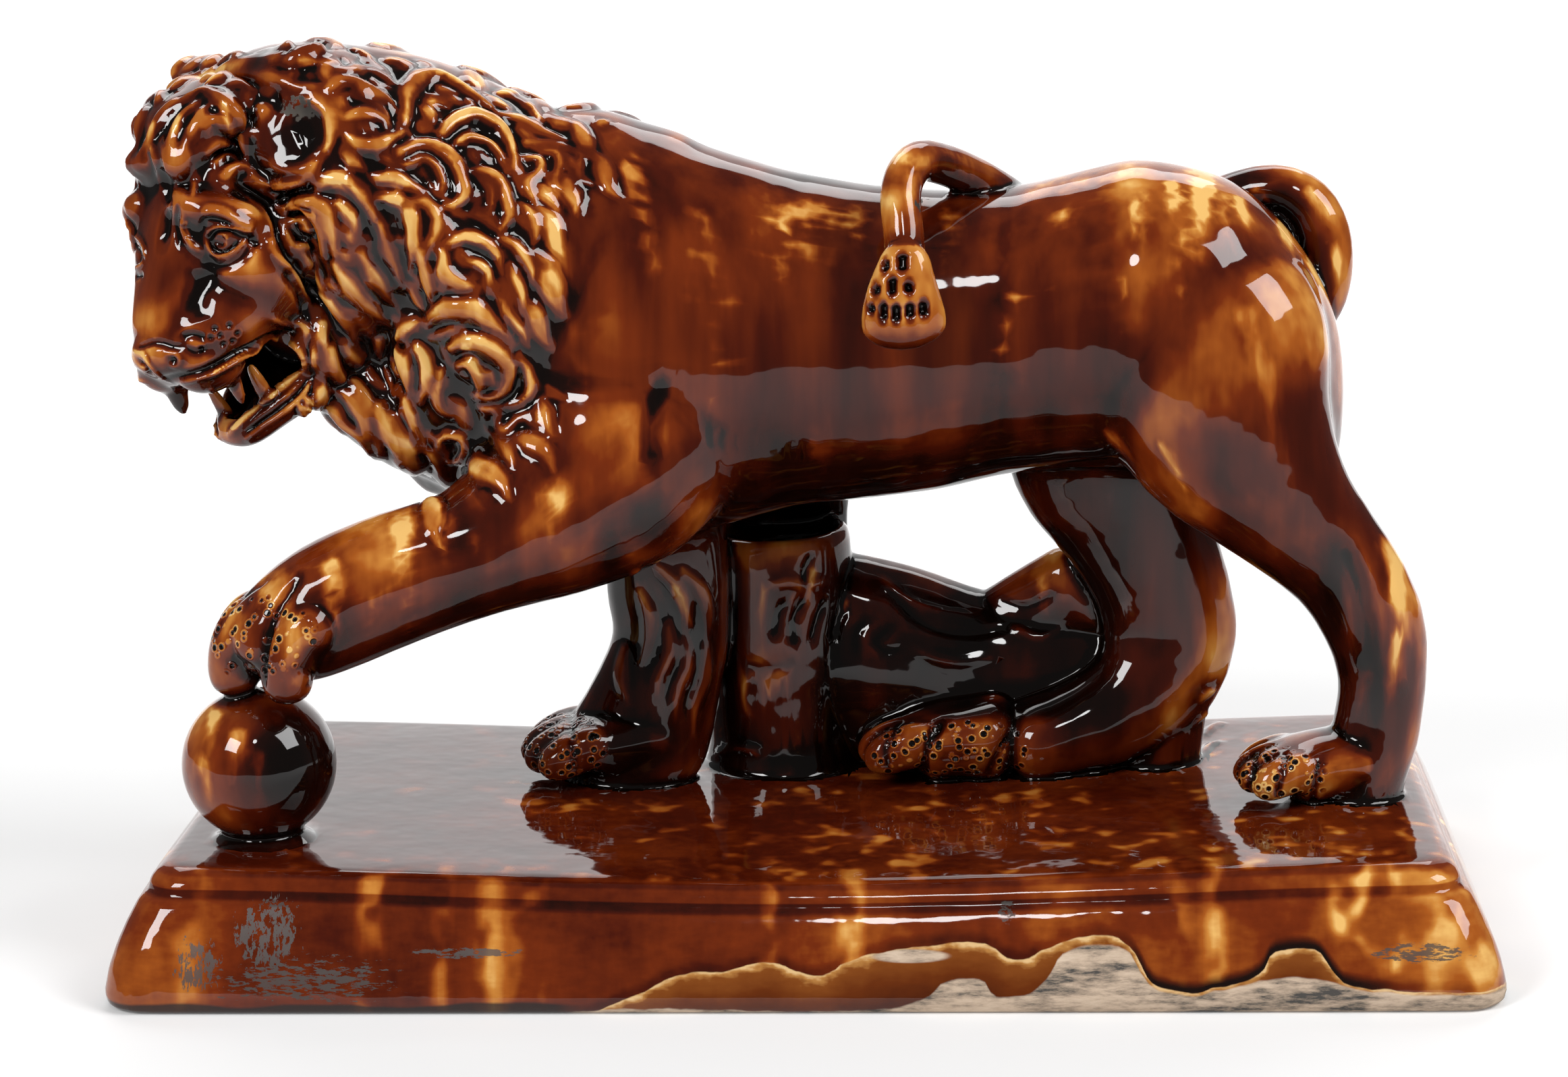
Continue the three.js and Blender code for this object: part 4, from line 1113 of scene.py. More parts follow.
# Strokes of thin glaze: place at the top in the image, place at the foot, half width, strength
RUNS = [
    # Head and mane
    ((225, 185), (214, 255), 9, 0.7), ((262, 172), (250, 258), 11, 0.7), ((330, 158), (352, 228), 10, 0.8),
    ((300, 118), (385, 78), 12, 0.7), ((450, 92), (525, 92), 11, 0.7), ((640, 150), (668, 200), 10, 0.6),
    ((500, 266), (528, 352), 22, 0.7), ((582, 284), (602, 372), 20, 0.7),
    ((545, 420), (570, 470), 16, 0.6), ((322, 357), (338, 360), 7, 0.7), ((318, 551), (394, 502), 3, 0.8),
    ((345, 634), (402, 588), 5, 1.0), ((402, 588), (456, 545), 5, 1.0), ((348, 618), (400, 578), 3, 0.8),
    ((276, 330), (285, 372), 5, 0.6), ((690, 520), (745, 575), 14, 0.8), ((700, 500), (760, 530), 8, 0.6),
    ((560, 60), (640, 84), 8, 0.5),
    # Shoulder and flank
    ((935, 240), (985, 470), 16, 0.85), ((925, 245), (960, 330), 9, 0.9),
    ((812, 290), (870, 640), 24, 0.6), ((1040, 320), (1060, 620), 14, 0.5),
    ((1110, 395), (1090, 470), 8, 0.95), ((1165, 318), (1158, 425), 18, 0.95),
    ((1196, 312), (1190, 400), 16, 0.85), ((1236, 306), (1230, 410), 16, 0.95),
    ((1270, 316), (1266, 390), 14, 0.8), ((1060, 540), (1045, 640), 10, 0.7),
    ((1130, 280), (1150, 300), 22, 0.4), ((1500, 438), (1490, 508), 9, 0.85),
    ((1404, 322), (1402, 410), 13, 0.7), ((1436, 328), (1437, 352), 9, 0.95),
    ((1560, 422), (1566, 472), 8, 0.6), ((1486, 520), (1492, 566), 8, 0.7),
    ((1574, 318), (1580, 352), 12, 0.6), ((1682, 306), (1680, 370), 12, 0.8),
    ((1667, 420), (1662, 505), 8, 0.6),
    # Rump
    ((1530, 280), (1720, 248), 24, 0.55), ((1740, 274), (1737, 340), 11, 0.95),
    ((1784, 270), (1776, 400), 17, 1.0), ((1756, 350), (1748, 480), 15, 0.6),
    ((1836, 298), (1852, 348), 9, 0.9), ((1898, 333), (1926, 400), 8, 0.85),
    ((1862, 280), (1905, 330), 9, 0.6), ((1940, 384), (1976, 480), 9, 0.8),
    ((1765, 250), (1840, 276), 12, 0.7), ((1812, 300), (1830, 420), 16, 0.45),
    ((1850, 470), (1935, 800), 24, 0.45), ((1700, 290), (1690, 400), 12, 0.5),
    ((1640, 640), (1690, 694), 9, 0.7), ((1722, 660), (1778, 765), 9, 0.7),
    ((1895, 655), (1898, 672), 9, 0.7),
    # Forelegs and ball
    ((820, 740), (815, 820), 30, 0.75), ((600, 780), (590, 900), 24, 0.85),
    ((660, 770), (655, 860), 16, 0.6), ((490, 840), (500, 960), 18, 0.9),
    ((560, 880), (540, 960), 14, 0.5), ((700, 800), (700, 900), 14, 0.4),
    ((350, 870), (335, 1000), 26, 0.85), ((412, 880), (440, 1020), 36, 0.9),
    ((606, 880), (612, 970), 15, 0.6), ((318, 1060), (306, 1120), 16, 0.7),
    ((352, 1090), (346, 1170), 18, 0.75), ((300, 1130), (312, 1190), 14, 0.7),
    ((385, 1120), (380, 1190), 12, 0.45), ((850, 1030), (830, 1160), 34, 0.35),
    ((948, 870), (985, 960), 12, 0.6), ((1000, 875), (1040, 960), 9, 0.8),
    # Hind legs, stump and log
    ((2064, 815), (2090, 965), 20, 1.0), ((2070, 945), (2058, 1060), 12, 0.85),
    ((2030, 1000), (2000, 1090), 12, 0.5), ((1330, 1080), (1350, 1160), 44, 0.1),
    ((1480, 1090), (1500, 1160), 30, 0.15), ((1830, 1120), (1830, 1190), 26, 0.1),
    ((1925, 1130), (1940, 1190), 26, 0.2), ((1128, 880), (1130, 965), 16, 0.75),
    ((1205, 845), (1195, 905), 7, 0.9), ((1085, 776), (1250, 768), 18, 0.45),
    ((1255, 890), (1240, 935), 6, 0.9), ((1175, 880), (1165, 905), 6, 0.6),
    ((1100, 1000), (1105, 1060), 8, 0.6), ((1545, 860), (1552, 940), 14, 0.6),
    ((1330, 230), (1480, 270), 18, 0.5), ((1352, 268), (1350, 350), 15, 0.6),
    ((1940, 285), (1975, 330), 16, 0.7), ((1980, 375), (1985, 430), 8, 0.9),
    ((1400, 222), (1462, 258), 10, 0.5),
]
# Where the glaze is painted dark, partly glaze pooled in hollows and partly painted shade, as under the
# belly, between the legs and under the log: middle in the image, reach across and down, strength
POOLED_GLAZE_AND_SHADE = [
    ((445, 1130), (82, 90), 1.0), ((1330, 700), (200, 46), 0.8), ((1160, 732), (110, 16), 0.3),
    ((1020, 700), (60, 60), 0.5), ((730, 940), (130, 26), 0.6), ((1400, 935), (150, 60), 0.5),
    ((1330, 1010), (90, 60), 0.8), ((1245, 1020), (60, 110), 0.9), ((1975, 870), (22, 90), 0.8),
    ((2040, 1000), (10, 70), 0.6), ((1790, 690), (80, 80), 0.4), ((1905, 300), (46, 40), 0.9),
    ((1855, 264), (44, 16), 0.8), ((1250, 268), (170, 18), 0.6), ((428, 214), (34, 36), 1.0),
    ((300, 398), (32, 16), 0.5), ((262, 602), (18, 30), 1.0), ((940, 1110), (70, 50), 0.5),
    ((1650, 1060), (70, 40), 0.4), ((1080, 1110), (60, 40), 0.5), ((1440, 1050), (130, 16), 0.9),
    ((905, 845), (30, 90), 0.9), ((965, 775), (52, 50), 0.9), ((1316, 1105), (64, 40), 0.4),
    ((370, 440), (60, 40), 0.45), ((1180, 690), (80, 50), 0.6), ((1560, 640), (60, 50), 0.5),
    ((870, 780), (50, 40), 0.3), ((1740, 560), (60, 60), 0.25),
]


def faces_camera(points, outward):
    return ((np.array(EYE) / MM - points) * outward).sum(axis=1) > 0


def image_places(points):
    """Where points in millimetres fall in the image."""
    away = points * MM - np.array(EYE)
    deep = away @ np.array(view_forward)
    reach = LENS / SENSOR * IMAGE_WIDTH
    return (away @ np.array(view_right) / deep * reach + IMAGE_WIDTH / 2,
            IMAGE_HEIGHT / 2 - away @ np.array(view_up) / deep * reach)


def thin_glaze(points, outward):
    """Share of the glaze that has run off, painted where the photograph shows its streaks."""
    px, py = image_places(points)
    thin = np.zeros(len(points))
    for top, foot, half, strength in RUNS:
        run = np.array(foot, float) - top
        length = np.linalg.norm(run)
        along = ((px - top[0]) * run[0] + (py - top[1]) * run[1]) / length
        across = ((px - top[0]) * run[1] - (py - top[1]) * run[0]) / length
        share = along / length
        body = np.where(share > 1, 0, np.clip(1 - share * 0.85, 0, 1) ** 0.8)
        wander = half * (0.9 + 0.2 * np.sin(along / 17 + top[0]) - 0.3 * np.clip(share, 0, 1))
        reach = np.hypot(across, np.minimum(along, 0)) / wander
        thin = np.maximum(thin, strength * body * np.exp(-reach ** 2.4))
    return np.where(faces_camera(points, outward), thin, 0)


def dark_glaze_and_shade(points, outward):
    """How dark the glaze is painted: in the dark places seen, partly glaze pooled in hollows and partly
    painted shade; painted shade on undersides; and darker on the far ear and on the bark behind.
    """
    px, py = image_places(points)
    thick = np.zeros(len(points))
    for (x, y), (wide, tall), strength in POOLED_GLAZE_AND_SHADE:
        reach = ((px - x) / wide) ** 2 + ((py - y) / tall) ** 2
        thick = np.maximum(thick, strength * np.exp(-reach ** 1.5))
    thick = np.where(faces_camera(points, outward), thick, 0)
    # Undersides above the block are painted darker, as painted shade.
    under = np.clip(-outward[:, 2] - 0.1, 0, 1) * (points[:, 2] > slab_top(points[:, 0]) + 22)
    from_ear = np.linalg.norm(points - np.array(on_head(-8, 27, 19)) / MM, axis=1)
    far_ear = 0.8 * np.exp(-(from_ear / 14) ** 4)
    bark = 0.55 * ((points[:, 1] > 44) & (points[:, 2] < 105) & (points[:, 2] > slab_top(points[:, 0]) + 2))
    return np.maximum(np.maximum(thick, 0.8 * under), np.maximum(far_ear, bark))


# Where the paws are covered in pricked pits: middle in the image, and reach across and down
PITTED = [((385, 945), (90, 62)), ((835, 1112), (68, 66)), ((1405, 1116), (130, 52)),
          ((1885, 1155), (84, 50))]
# Where the glaze is worn to matt grey
WORN = [((444, 160), (40, 26)), ((1360, 300), (8, 14))]


def ovals(points, outward, places, soft):
    """Share within ovals drawn on the side that the camera sees."""
    px, py = image_places(points)
    share = np.zeros(len(points))
    for (x, y), (wide, tall) in places:
        reach = np.hypot((px - x) / wide, (py - y) / tall)
        share = np.maximum(share, np.clip((1 - reach) / soft, 0, 1))
    return share * faces_camera(points, outward) * (points[:, 2] > slab_top(points[:, 0]) + 0.8)


def crests(mesh, points, outward, passes):
    """How far each point stands over its surroundings, in millimetres."""
    smooth = np.stack([eased(mesh, points[:, k], passes) for k in range(3)], axis=1)
    return ((points - smooth) * outward).sum(axis=1)


def paint(piece, name, values):
    """Keeps a value for each point, which the glaze then reads by its name."""
    piece.data.attributes.new(name, "FLOAT", "POINT").data.foreach_set("value", values.astype(np.float32))


# Parts of the near side whose skin is made finer: left, top, right and bottom in the image
CLOSE = [(185, 270, 465, 665), (1285, 365, 1405, 520)]


def close_up(points, outward):
    """The points of the near side's skin that is made finer."""
    px, py = image_places(points)
    seen = faces_camera(points, outward) & (points[:, 2] > slab_top(points[:, 0]) + 1.0) & (points[:, 1] < 40)
    near = np.zeros(len(points), bool)
    for left, top, right, bottom in CLOSE:
        near |= (px > left) & (px < right) & (py > top) & (py < bottom)
    return near & seen


def faces_among(mesh, chosen):
    """The faces whose first three corners are all among the chosen points."""
    starts = np.empty(len(mesh.polygons), np.int32)
    mesh.polygons.foreach_get("loop_start", starts)
    corners = np.empty(len(mesh.loops), np.int32)
    mesh.loops.foreach_get("vertex_index", corners)
    return chosen[corners[starts]] & chosen[corners[starts + 1]] & chosen[corners[starts + 2]]


def refine(piece):
    """Cuts each face of the close-up parts into four."""
    mesh = piece.data
    faces = faces_among(mesh, close_up(read(mesh, "co") / MM, read(mesh, "normal")))
    only(piece)
    bpy.ops.object.mode_set(mode="EDIT")
    bpy.ops.mesh.select_mode(type="FACE")
    bpy.ops.mesh.select_all(action="DESELECT")
    bpy.ops.object.mode_set(mode="OBJECT")
    mesh.polygons.foreach_set("select", faces)
    bpy.ops.object.mode_set(mode="EDIT")
    bpy.ops.mesh.subdivide(number_cuts=1, smoothness=0.0)
    bpy.ops.object.mode_set(mode="OBJECT")


def thinned(piece, close, triangles):
    """Fewer faces in the close-up parts, or in all the rest, until the whole has so many triangles."""
    mesh = piece.data
    near = close_up(read(mesh, "co") / MM, read(mesh, "normal"))
    group = piece.vertex_groups.new(name="thinned")
    group.add([int(k) for k in np.nonzero(near if close else ~near)[0]], 1.0, "REPLACE")
    apply_modifier(piece, "DECIMATE", ratio=triangles / triangle_count(mesh), vertex_group="thinned")
    piece.vertex_groups.clear()


def stand_flat(piece):
    """Nothing hangs under the plane that the block stands on."""
    places = read(piece.data, "co")
    places[:, 2] = np.maximum(places[:, 2], 0)
    put(piece.data, places)


def triangle_count(mesh):
    mesh.calc_loop_triangles()
    return len(mesh.loop_triangles)


# Triangles of the finished piece, and the share of the close-up triangles that can go
TRIANGLES = 192000
SPARE = 0.55

lion = rough_body()
coarse_count = triangle_count(lion.data)
refine(lion)
# Of the four faces that a close-up face is cut into, three are added.
fine_count = (triangle_count(lion.data) - coarse_count) * 4 / 3
skin = Skin(lion)
comb_far_side(skin)
comb_under_side(skin)
skin.comb(NEAR_LOCKS)
carve_face(skin)
carve_body(skin)
skin.settle()
thinned(lion, True, triangle_count(lion.data) - SPARE * fine_count)
thinned(lion, False, TRIANGLES)
apply_modifier(lion, "SMOOTH", factor=0.35, iterations=2)
stand_flat(lion)
points, outward = read(lion.data, "co") / MM, read(lion.data, "normal")
paint(lion, "crest", np.where(close_up(points, outward), 1.2 * crests(lion.data, points, outward, 34),
                              crests(lion.data, points, outward, 10)))
paint(lion, "run", thin_glaze(points, outward))
# Pooled glaze and painted shade, kept as one value for each point.
paint(lion, "pool", dark_glaze_and_shade(points, outward))
paint(lion, "pitted", ovals(points, outward, PITTED, 0.2))
paint(lion, "worn", ovals(points, outward, WORN, 0.5))
only(lion)
bpy.ops.object.shade_smooth()


# Looks
class Value:
    """A socket in arithmetic: each operator adds the Math node that it stands for."""

    def __init__(self, finish, socket):
        self.finish, self.socket = finish, socket

    def _math(self, operation, *others):
        return self.finish.node("ShaderNodeMath", {"operation": operation}, *others)

    def __add__(self, other):
        return self._math("ADD", self, other)

    def __radd__(self, other):
        return self._math("ADD", other, self)

    def __sub__(self, other):
        return self._math("SUBTRACT", self, other)

    def __rsub__(self, other):
        return self._math("SUBTRACT", other, self)

    def __mul__(self, other):
        return self._math("MULTIPLY", self, other)

    def __rmul__(self, other):
        return self._math("MULTIPLY", other, self)

    def __truediv__(self, other):
        return self._math("DIVIDE", self, other)

    def least(self, other):
        return self._math("MINIMUM", self, other)

    def most(self, other):
        return self._math("MAXIMUM", self, other)

    def held(self):
        return self.most(0.0).least(1.0)

    def between(self, low, high):
        """0 below low, 1 above high, and smooth between them."""
        return self.finish.node("ShaderNodeMapRange", {"interpolation_type": "SMOOTHSTEP"}, self, low, high)


class Finish:
    """A material's node tree, and the one method that adds a node to it."""

    def __init__(self, name):
        self.material = bpy.data.materials.new(name)
        self.material.use_nodes = True
        self.tree = self.material.node_tree
        self.tree.nodes.clear()

    def node(self, kind, settings=None, *values, out=0, **named):
        made = self.tree.nodes.new(kind)
        for name, value in (settings or {}).items():
            if name == "stops":
                self._stops(made.color_ramp, value)
            else:
                setattr(made, name, value)
        pairs = list(enumerate(values)) + [(key.replace("_", " "), value) for key, value in named.items()]
        for key, value in pairs:
            if isinstance(value, Value):
                self.tree.links.new(value.socket, made.inputs[key])
            elif value is not None:
                made.inputs[key].default_value = value
        return Value(self, made.outputs[out]) if made.outputs else made

    @staticmethod
    def _stops(ramp, stops):
        while len(ramp.elements) < len(stops):
            ramp.elements.new(1.0)
        for element, (position, colour) in zip(ramp.elements, stops):
            element.position = position
            element.color = (*colour, 1)


# Height of the glaze's lower edge along the base's front, in millimetres, from left to right
GLAZE_FOOT = [(-178, -2.0), (-60, -2.0), (-52, 0.5), (-46, 3.0), (-38, 6.5), (-27, 10.5), (-18, 11.0),
              (-6, 12.9), (1, 10.5), (6, 10.2), (12, 12.9), (22, 15.2), (33, 16.7), (44, 17.5), (50, 16.0),
              (56, 13.6), (61, 15.2), (67, 17.5), (77, 19.0), (82, 17.5), (85.5, 13.6), (88, 9.0),
              (92, 6.7), (99, 5.6), (104, 6.7), (111, 8.2), (116, 10.5), (118.5, 14.4), (123, 16.0),
              (128, 16.0), (131.5, 13.6), (134.5, 9.8), (138, 7.4), (146, 6.2), (162, 5.6), (178, 5.6)]
# Height of the bare clay's upper edge
BARE_EDGE = [(-178, -2.0), (-62, -2.0), (-56, 0.9), (20, 1.2), (28, 2.8), (33.5, 5.1), (37, 8.2),
             (41, 9.0), (46, 8.7), (48.5, 5.9), (51, 4.7), (56, 5.1), (61, 7.4), (64, 11.0), (68, 15.5),
             (77, 17.0), (82, 16.0), (85, 12.6), (88, 8.0), (92, 5.9), (99, 4.9), (104, 5.9), (111, 7.3),
             (116, 8.6), (123, 9.4), (130, 8.8), (135, 7.6), (146, 5.6), (162, 5.0), (178, 5.0)]
# Where the glaze's lower edge is pooled black
DARK_LIP = [(-178, 0.0), (18, 0.0), (28, 0.35), (46, 0.2), (60, 0.0), (82, 0.1), (90, 1.0), (138, 1.0),
            (150, 0.2), (178, 0.0)]
# Strength of the amber streaks down the base's front
FRONT_RUNS = [(-178, 0.1), (-160, 0.15), (-155, 0.45), (-149, 0.1), (-120, 0.0), (-112, 0.1), (-108, 0.85),
              (-104, 0.1), (-94, 0.0), (-90, 0.7), (-86, 0.05), (-81, 0.3), (-77, 0.8), (-72, 0.3),
              (-67, 0.6), (-62, 0.0), (-20, 0.0), (-9, 0.1), (-6, 0.6), (-3, 0.1), (8, 0.1), (13.5, 0.8),
              (19, 0.1), (40, 0.1), (66, 0.3), (80, 0.1), (92, 0.2), (95.5, 0.5), (100, 0.2), (105, 0.8),
              (109, 0.1), (132, 0.2), (137, 1.0), (143, 1.0), (147, 0.3), (149, 0.8), (153, 0.4),
              (165, 0.5), (178, 0.4)]
# Height of the slab's top along the front
TOP_LINE = [(x, float(slab_top(x))) for x in range(-178, 179, 44)] + [(178, BASE_HEIGHT)]


# Colours of the glaze from pooled near-black through reddish brown and amber to cream
TREACLE = [(0.0, (0.0025, 0.0010, 0.0006)), (0.17, (0.010, 0.0018, 0.0009)), (0.36, (0.058, 0.0060, 0.0014)),
           (0.54, (0.155, 0.022, 0.0030)), (0.72, (0.34, 0.085, 0.010)), (0.87, (0.54, 0.215, 0.038)),
           (1.0, (0.76, 0.45, 0.14))]
# The wash of glaze below its edge, from its pale rim down, and the bare clay from kiln dirt to buff
WASH = [(0.0, (0.68, 0.45, 0.21)), (0.07, (0.42, 0.19, 0.048)), (0.17, (0.20, 0.056, 0.009)),
        (0.55, (0.12, 0.024, 0.003)), (1.0, (0.06, 0.010, 0.002))]
BUFF = [(0.36, (0.06, 0.055, 0.05)), (0.45, (0.30, 0.23, 0.17)), (0.55, (0.50, 0.38, 0.28)),
        (0.7, (0.62, 0.49, 0.37))]
WORN_DARK, WORN_PALE = (0.022, 0.018, 0.015, 1), (0.085, 0.07, 0.055, 1)
LIP_BLACK = (0.008, 0.003, 0.002, 1)
SCRAPE_GREY = (0.052, 0.048, 0.044, 1)
KERB_BLACK = (0.012, 0.009, 0.008, 1)


class Glaze(Finish):
    """The patterns that the glaze is made of, on the piece's own coordinates in millimetres."""

    def __init__(self, name):
        super().__init__(name)
        self.place = self.scaled(self.node("ShaderNodeTexCoord", out=3), 1 / MM, 1 / MM, 1 / MM)
        self.along, self.deep, self.height = [self.node("ShaderNodeSeparateXYZ", None, self.place, out=k)
                                              for k in range(3)]

    def scaled(self, place, *factors):
        return self.node("ShaderNodeVectorMath", {"operation": "MULTIPLY"}, place, factors)

    def noise(self, size, detail=2.0, upright=1.0, roughness=0.5):
        """Noise with features of a size in millimetres, drawn out upright by a factor."""
        where = self.scaled(self.place, 1 / size, 1 / size, 1 / (size * upright))
        return self.node("ShaderNodeTexNoise", None, Vector=where, Scale=1.0, Detail=detail,
                         Roughness=roughness)

    def profile(self, table, tall):
        """A height read from a table along the base."""
        curve = self.tree.nodes.new("ShaderNodeFloatCurve")
        line = curve.mapping.curves[0]
        spots = [((x + BASE_LENGTH / 2) / BASE_LENGTH, z / tall) for x, z in table]
        line.points[0].location, line.points[1].location = spots[0], spots[-1]
        for spot in spots[1:-1]:
            line.points.new(*spot)
        curve.mapping.update()
        share = (self.along + BASE_LENGTH / 2) / BASE_LENGTH
        self.tree.links.new(share.socket, curve.inputs["Value"])
        return Value(self, curve.outputs[0]) * tall

    def mixed(self, share, first, second):
        return self.node("ShaderNodeMix", {"data_type": "RGBA"}, share, None, None, None, None, None,
                         first, second, out=2)

    def treacle(self, amount):
        return self.node("ShaderNodeValToRGB", {"stops": TREACLE}, amount)

    def patch(self, x, height, wide, tall):
        """1 in the middle of an oval on the base's front, 0 at its edge and beyond."""
        place = self.node("ShaderNodeVectorMath", {"operation": "MULTIPLY_ADD"}, self.place,
                          (1 / wide, 0, 1 / tall), (-x / wide, 0, -height / tall))
        return (1.0 - self.node("ShaderNodeVectorMath", {"operation": "LENGTH"}, place, out=1)).held()

    def ripple(self, height):
        """The uneven surface that thick glaze sets with, its height in tenths of a millimetre."""
        return self.node("ShaderNodeBump", None, Strength=1.0, Distance=0.1 * MM, Height=height)

    @staticmethod
    def broken(patch, noise):
        """A patch broken up by noise, dense in its middle and scattered at its edge."""
        return (patch.least(0.6) + noise * 2.6).between(1.78, 1.9) * patch.between(0.0, 0.2)

    def close(self, colour, bump, matt=0.0):
        """Ends the tree in the glaze's shader. Where matt is 1 it hardly shines."""
        shader = self.node("ShaderNodeBsdfPrincipled", None, Base_Color=colour, Roughness=matt * 0.8 + 0.04,
                           IOR=1.43, Normal=bump)
        self.node("ShaderNodeOutputMaterial", None, shader)
        return self.material


def treacle_glaze():
    """Dark glaze pooled in the hollows, reddish brown on the flats, amber and cream where it ran thin, with
    painted shade in the places seen dark and a painted sheen towards the top.
    """
    glaze = Glaze("treacle_glaze")
    crest, run, pool, pitted, worn = [glaze.node("ShaderNodeAttribute", {"attribute_name": name}, out=2)
                                      for name in ("crest", "run", "pool", "pitted", "worn")]
    streaks, hairs, broad = glaze.noise(15.0, 2.0, 7.0), glaze.noise(3.2, 2.0, 9.0), glaze.noise(55.0, 1.0)
    spots, drips = glaze.noise(9.0, 2.0, 1.6), glaze.noise(5.0, 2.0, 5.0)
    ran = (run * 1.3 + (drips - 0.5) * 0.8 + (hairs - 0.5) * 0.3).between(0.12, 1.1)
    high = (crest - 0.05).between(0.0, 0.5) * (0.5 + (broad - 0.3) * 1.6).held() * (1.0 - pool * 0.8)
    low = (crest * -1.0).between(0.02, 0.40)
    # Lighter towards the top of the figure, as a painted sheen of the light from above.
    upper = (glaze.height - 95.0).between(0.0, 90.0)
    # Darker where the glaze pooled and where shade is painted.
    amount = (0.30 + upper * 0.11 + (streaks - 0.5) * 0.6 + (broad - 0.5) * 0.35 + (hairs - 0.5) * 0.12
              + ran * 0.5 + high * (0.1 + spots * 0.72) - low * 0.42 - pool * (0.2 + spots * 0.3))
    pores = glaze.node("ShaderNodeTexVoronoi", None, Vector=glaze.place, Scale=0.34)
    pore = (0.34 - pores).between(0.0, 0.12) * pitted
    rim = (0.50 - pores).between(0.0, 0.1) * pitted - pore
    amount = amount - pitted * 0.04 + rim * 0.24 - pore * 0.9
    ripple = glaze.ripple(glaze.noise(14.0, 1.0) * 5.0 + glaze.noise(4.0, 0.0) * 0.5
                          + (rim * 0.4 - pore) * 4.0)
    matt = (worn * 0.8 + (glaze.noise(1.6, 3.0) - 0.5) * 2.4).between(0.5, 0.8) * worn.between(0.0, 0.2)
    grey = glaze.mixed(spots.between(0.35, 0.65), WORN_DARK, WORN_PALE)
    return glaze.close(glaze.mixed(matt, glaze.treacle(amount), grey), ripple, matt * 0.8)


def base_glaze():
    """The same glaze on the block, stopping short of bare clay along the foot of the front."""
    glaze = Glaze("base_glaze")
    front = (glaze.deep * -1.0).between(60.0, 66.0)
    hairs, broad, fine = glaze.noise(3.2, 2.0, 5.0), glaze.noise(30.0, 2.0), glaze.noise(5.0, 3.0, 0.4)
    ragged = (glaze.noise(6.0, 2.0) - 0.5) * 1.4
    elsewhere = (broad - 0.45) * 26.0
    foot = glaze.profile(GLAZE_FOOT, 40.0) * front + elsewhere * (1.0 - front) + ragged
    bare_top = glaze.profile(BARE_EDGE, 40.0) * front + (elsewhere - 2.0) * (1.0 - front) + ragged
    over = glaze.height - foot
    washed = (over * -1.0).between(-0.15, 0.25)
    pooled = glaze.profile(DARK_LIP, 1.0) * front
    lip = (1.0 - over.between(0.6, 3.6)) * (1.0 - washed)
    bare = (bare_top - glaze.height).between(-0.3, 0.4)
    gap = glaze.patch(28.5, 14.4, 11.0, 1.8).between(0.0, 0.3) * front
    sunk = glaze.profile(TOP_LINE, 40.0) - glaze.height
    top_face = 1.0 - sunk.between(0.1, 0.7)
    down = glaze.profile(FRONT_RUNS, 1.0) * front * glaze.noise(9.0, 1.0, 1.6).between(0.38, 0.62)
    dapple = glaze.noise(9.0, 1.0).between(0.54, 0.75)
    dapple = dapple * (broad * 1.3 + glaze.along * 0.0015).between(0.3, 0.8)
    side_runs = glaze.noise(10.0, 2.0, 5.0).between(0.55, 0.75) * (1.0 - front) * (1.0 - top_face)
    # The moulding's groove and a line just under the slab's top edge are painted darker, as painted shade in
    # those grooves.
    groove = (sunk - 4.5).between(0.0, 0.5) * (1.0 - (sunk - 6.4).between(0.0, 1.2))
    edge_line = sunk.between(0.4, 0.9) * (1.0 - (sunk - 1.4).between(0.0, 0.8))
    # Lighter towards both ends of the block's sides; at the left end this is a painted sheen of reflected
    # light.
    ends = (glaze.along * -1.0).between(115.0, 175.0) * 0.15 + glaze.along.between(115.0, 175.0) * 0.15
    face = 0.48 + glaze.along * 0.0003 + ends * (1.0 - top_face)
    amount = (face + (broad - 0.5) * 0.4 + (hairs - 0.5) * 0.12 + (fine - 0.5) * 0.14
              + (down + side_runs) * 0.5 - top_face * 0.10 + dapple * top_face * 0.42
              - groove * 0.2 - edge_line * 0.1 - lip * 0.12)
    below = foot - glaze.height
    wash = glaze.node("ShaderNodeValToRGB", {"stops": WASH},
                      below / 13.0 + (fine - 0.5) * 0.35 + (hairs - 0.5) * 0.15)
    clay = glaze.node("ShaderNodeValToRGB", {"stops": BUFF}, glaze.noise(14.0, 5.0, 0.22, 0.7))
    glazed = glaze.mixed(lip * pooled, glaze.treacle(amount), LIP_BLACK)
    coloured = glaze.mixed((bare + gap * washed).held(), glaze.mixed(washed, glazed, wash), clay)
    scratched = (glaze.patch(-134.0, 20.0, 11.0, 11.0) * 1.3).most(glaze.patch(-152.0, 13.0, 8.0, 9.0))
    rubbed = (glaze.patch(-125.0, 9.0, 34.0, 8.0) * 0.9).most(glaze.patch(-85.0, 15.5, 20.0, 1.6) * 1.4).most(
        glaze.patch(156.0, 15.0, 16.0, 3.0) * 1.4).most(glaze.patch(53.0, 24.0, 3.0, 3.6) * 1.6)
    scraped = glaze.broken(scratched, glaze.noise(1.3, 3.0, 11.0, 0.7)).most(
        glaze.broken(rubbed, glaze.noise(4.0, 4.0, 0.25, 0.7))) * front
    grimed = glaze.mixed(scraped * 0.85, coloured, SCRAPE_GREY)
    kerb = (3.4 + (broad - 0.5) * 5.0 - glaze.height).between(0.0, 1.0)
    kerb = kerb * (-50.0 - glaze.along).between(0.0, 12.0)
    ripple = glaze.ripple(glaze.noise(10.0, 1.0) * 1.6 + glaze.noise(3.0, 0.0) * 0.25)
    return glaze.close(glaze.mixed(kerb * 0.9, grimed, KERB_BLACK), ripple,
                       (bare + gap * washed).most(scraped * 0.5))


# How far over the slab's top the block's glaze reaches, in millimetres
BLOCK_REACH = 0.35


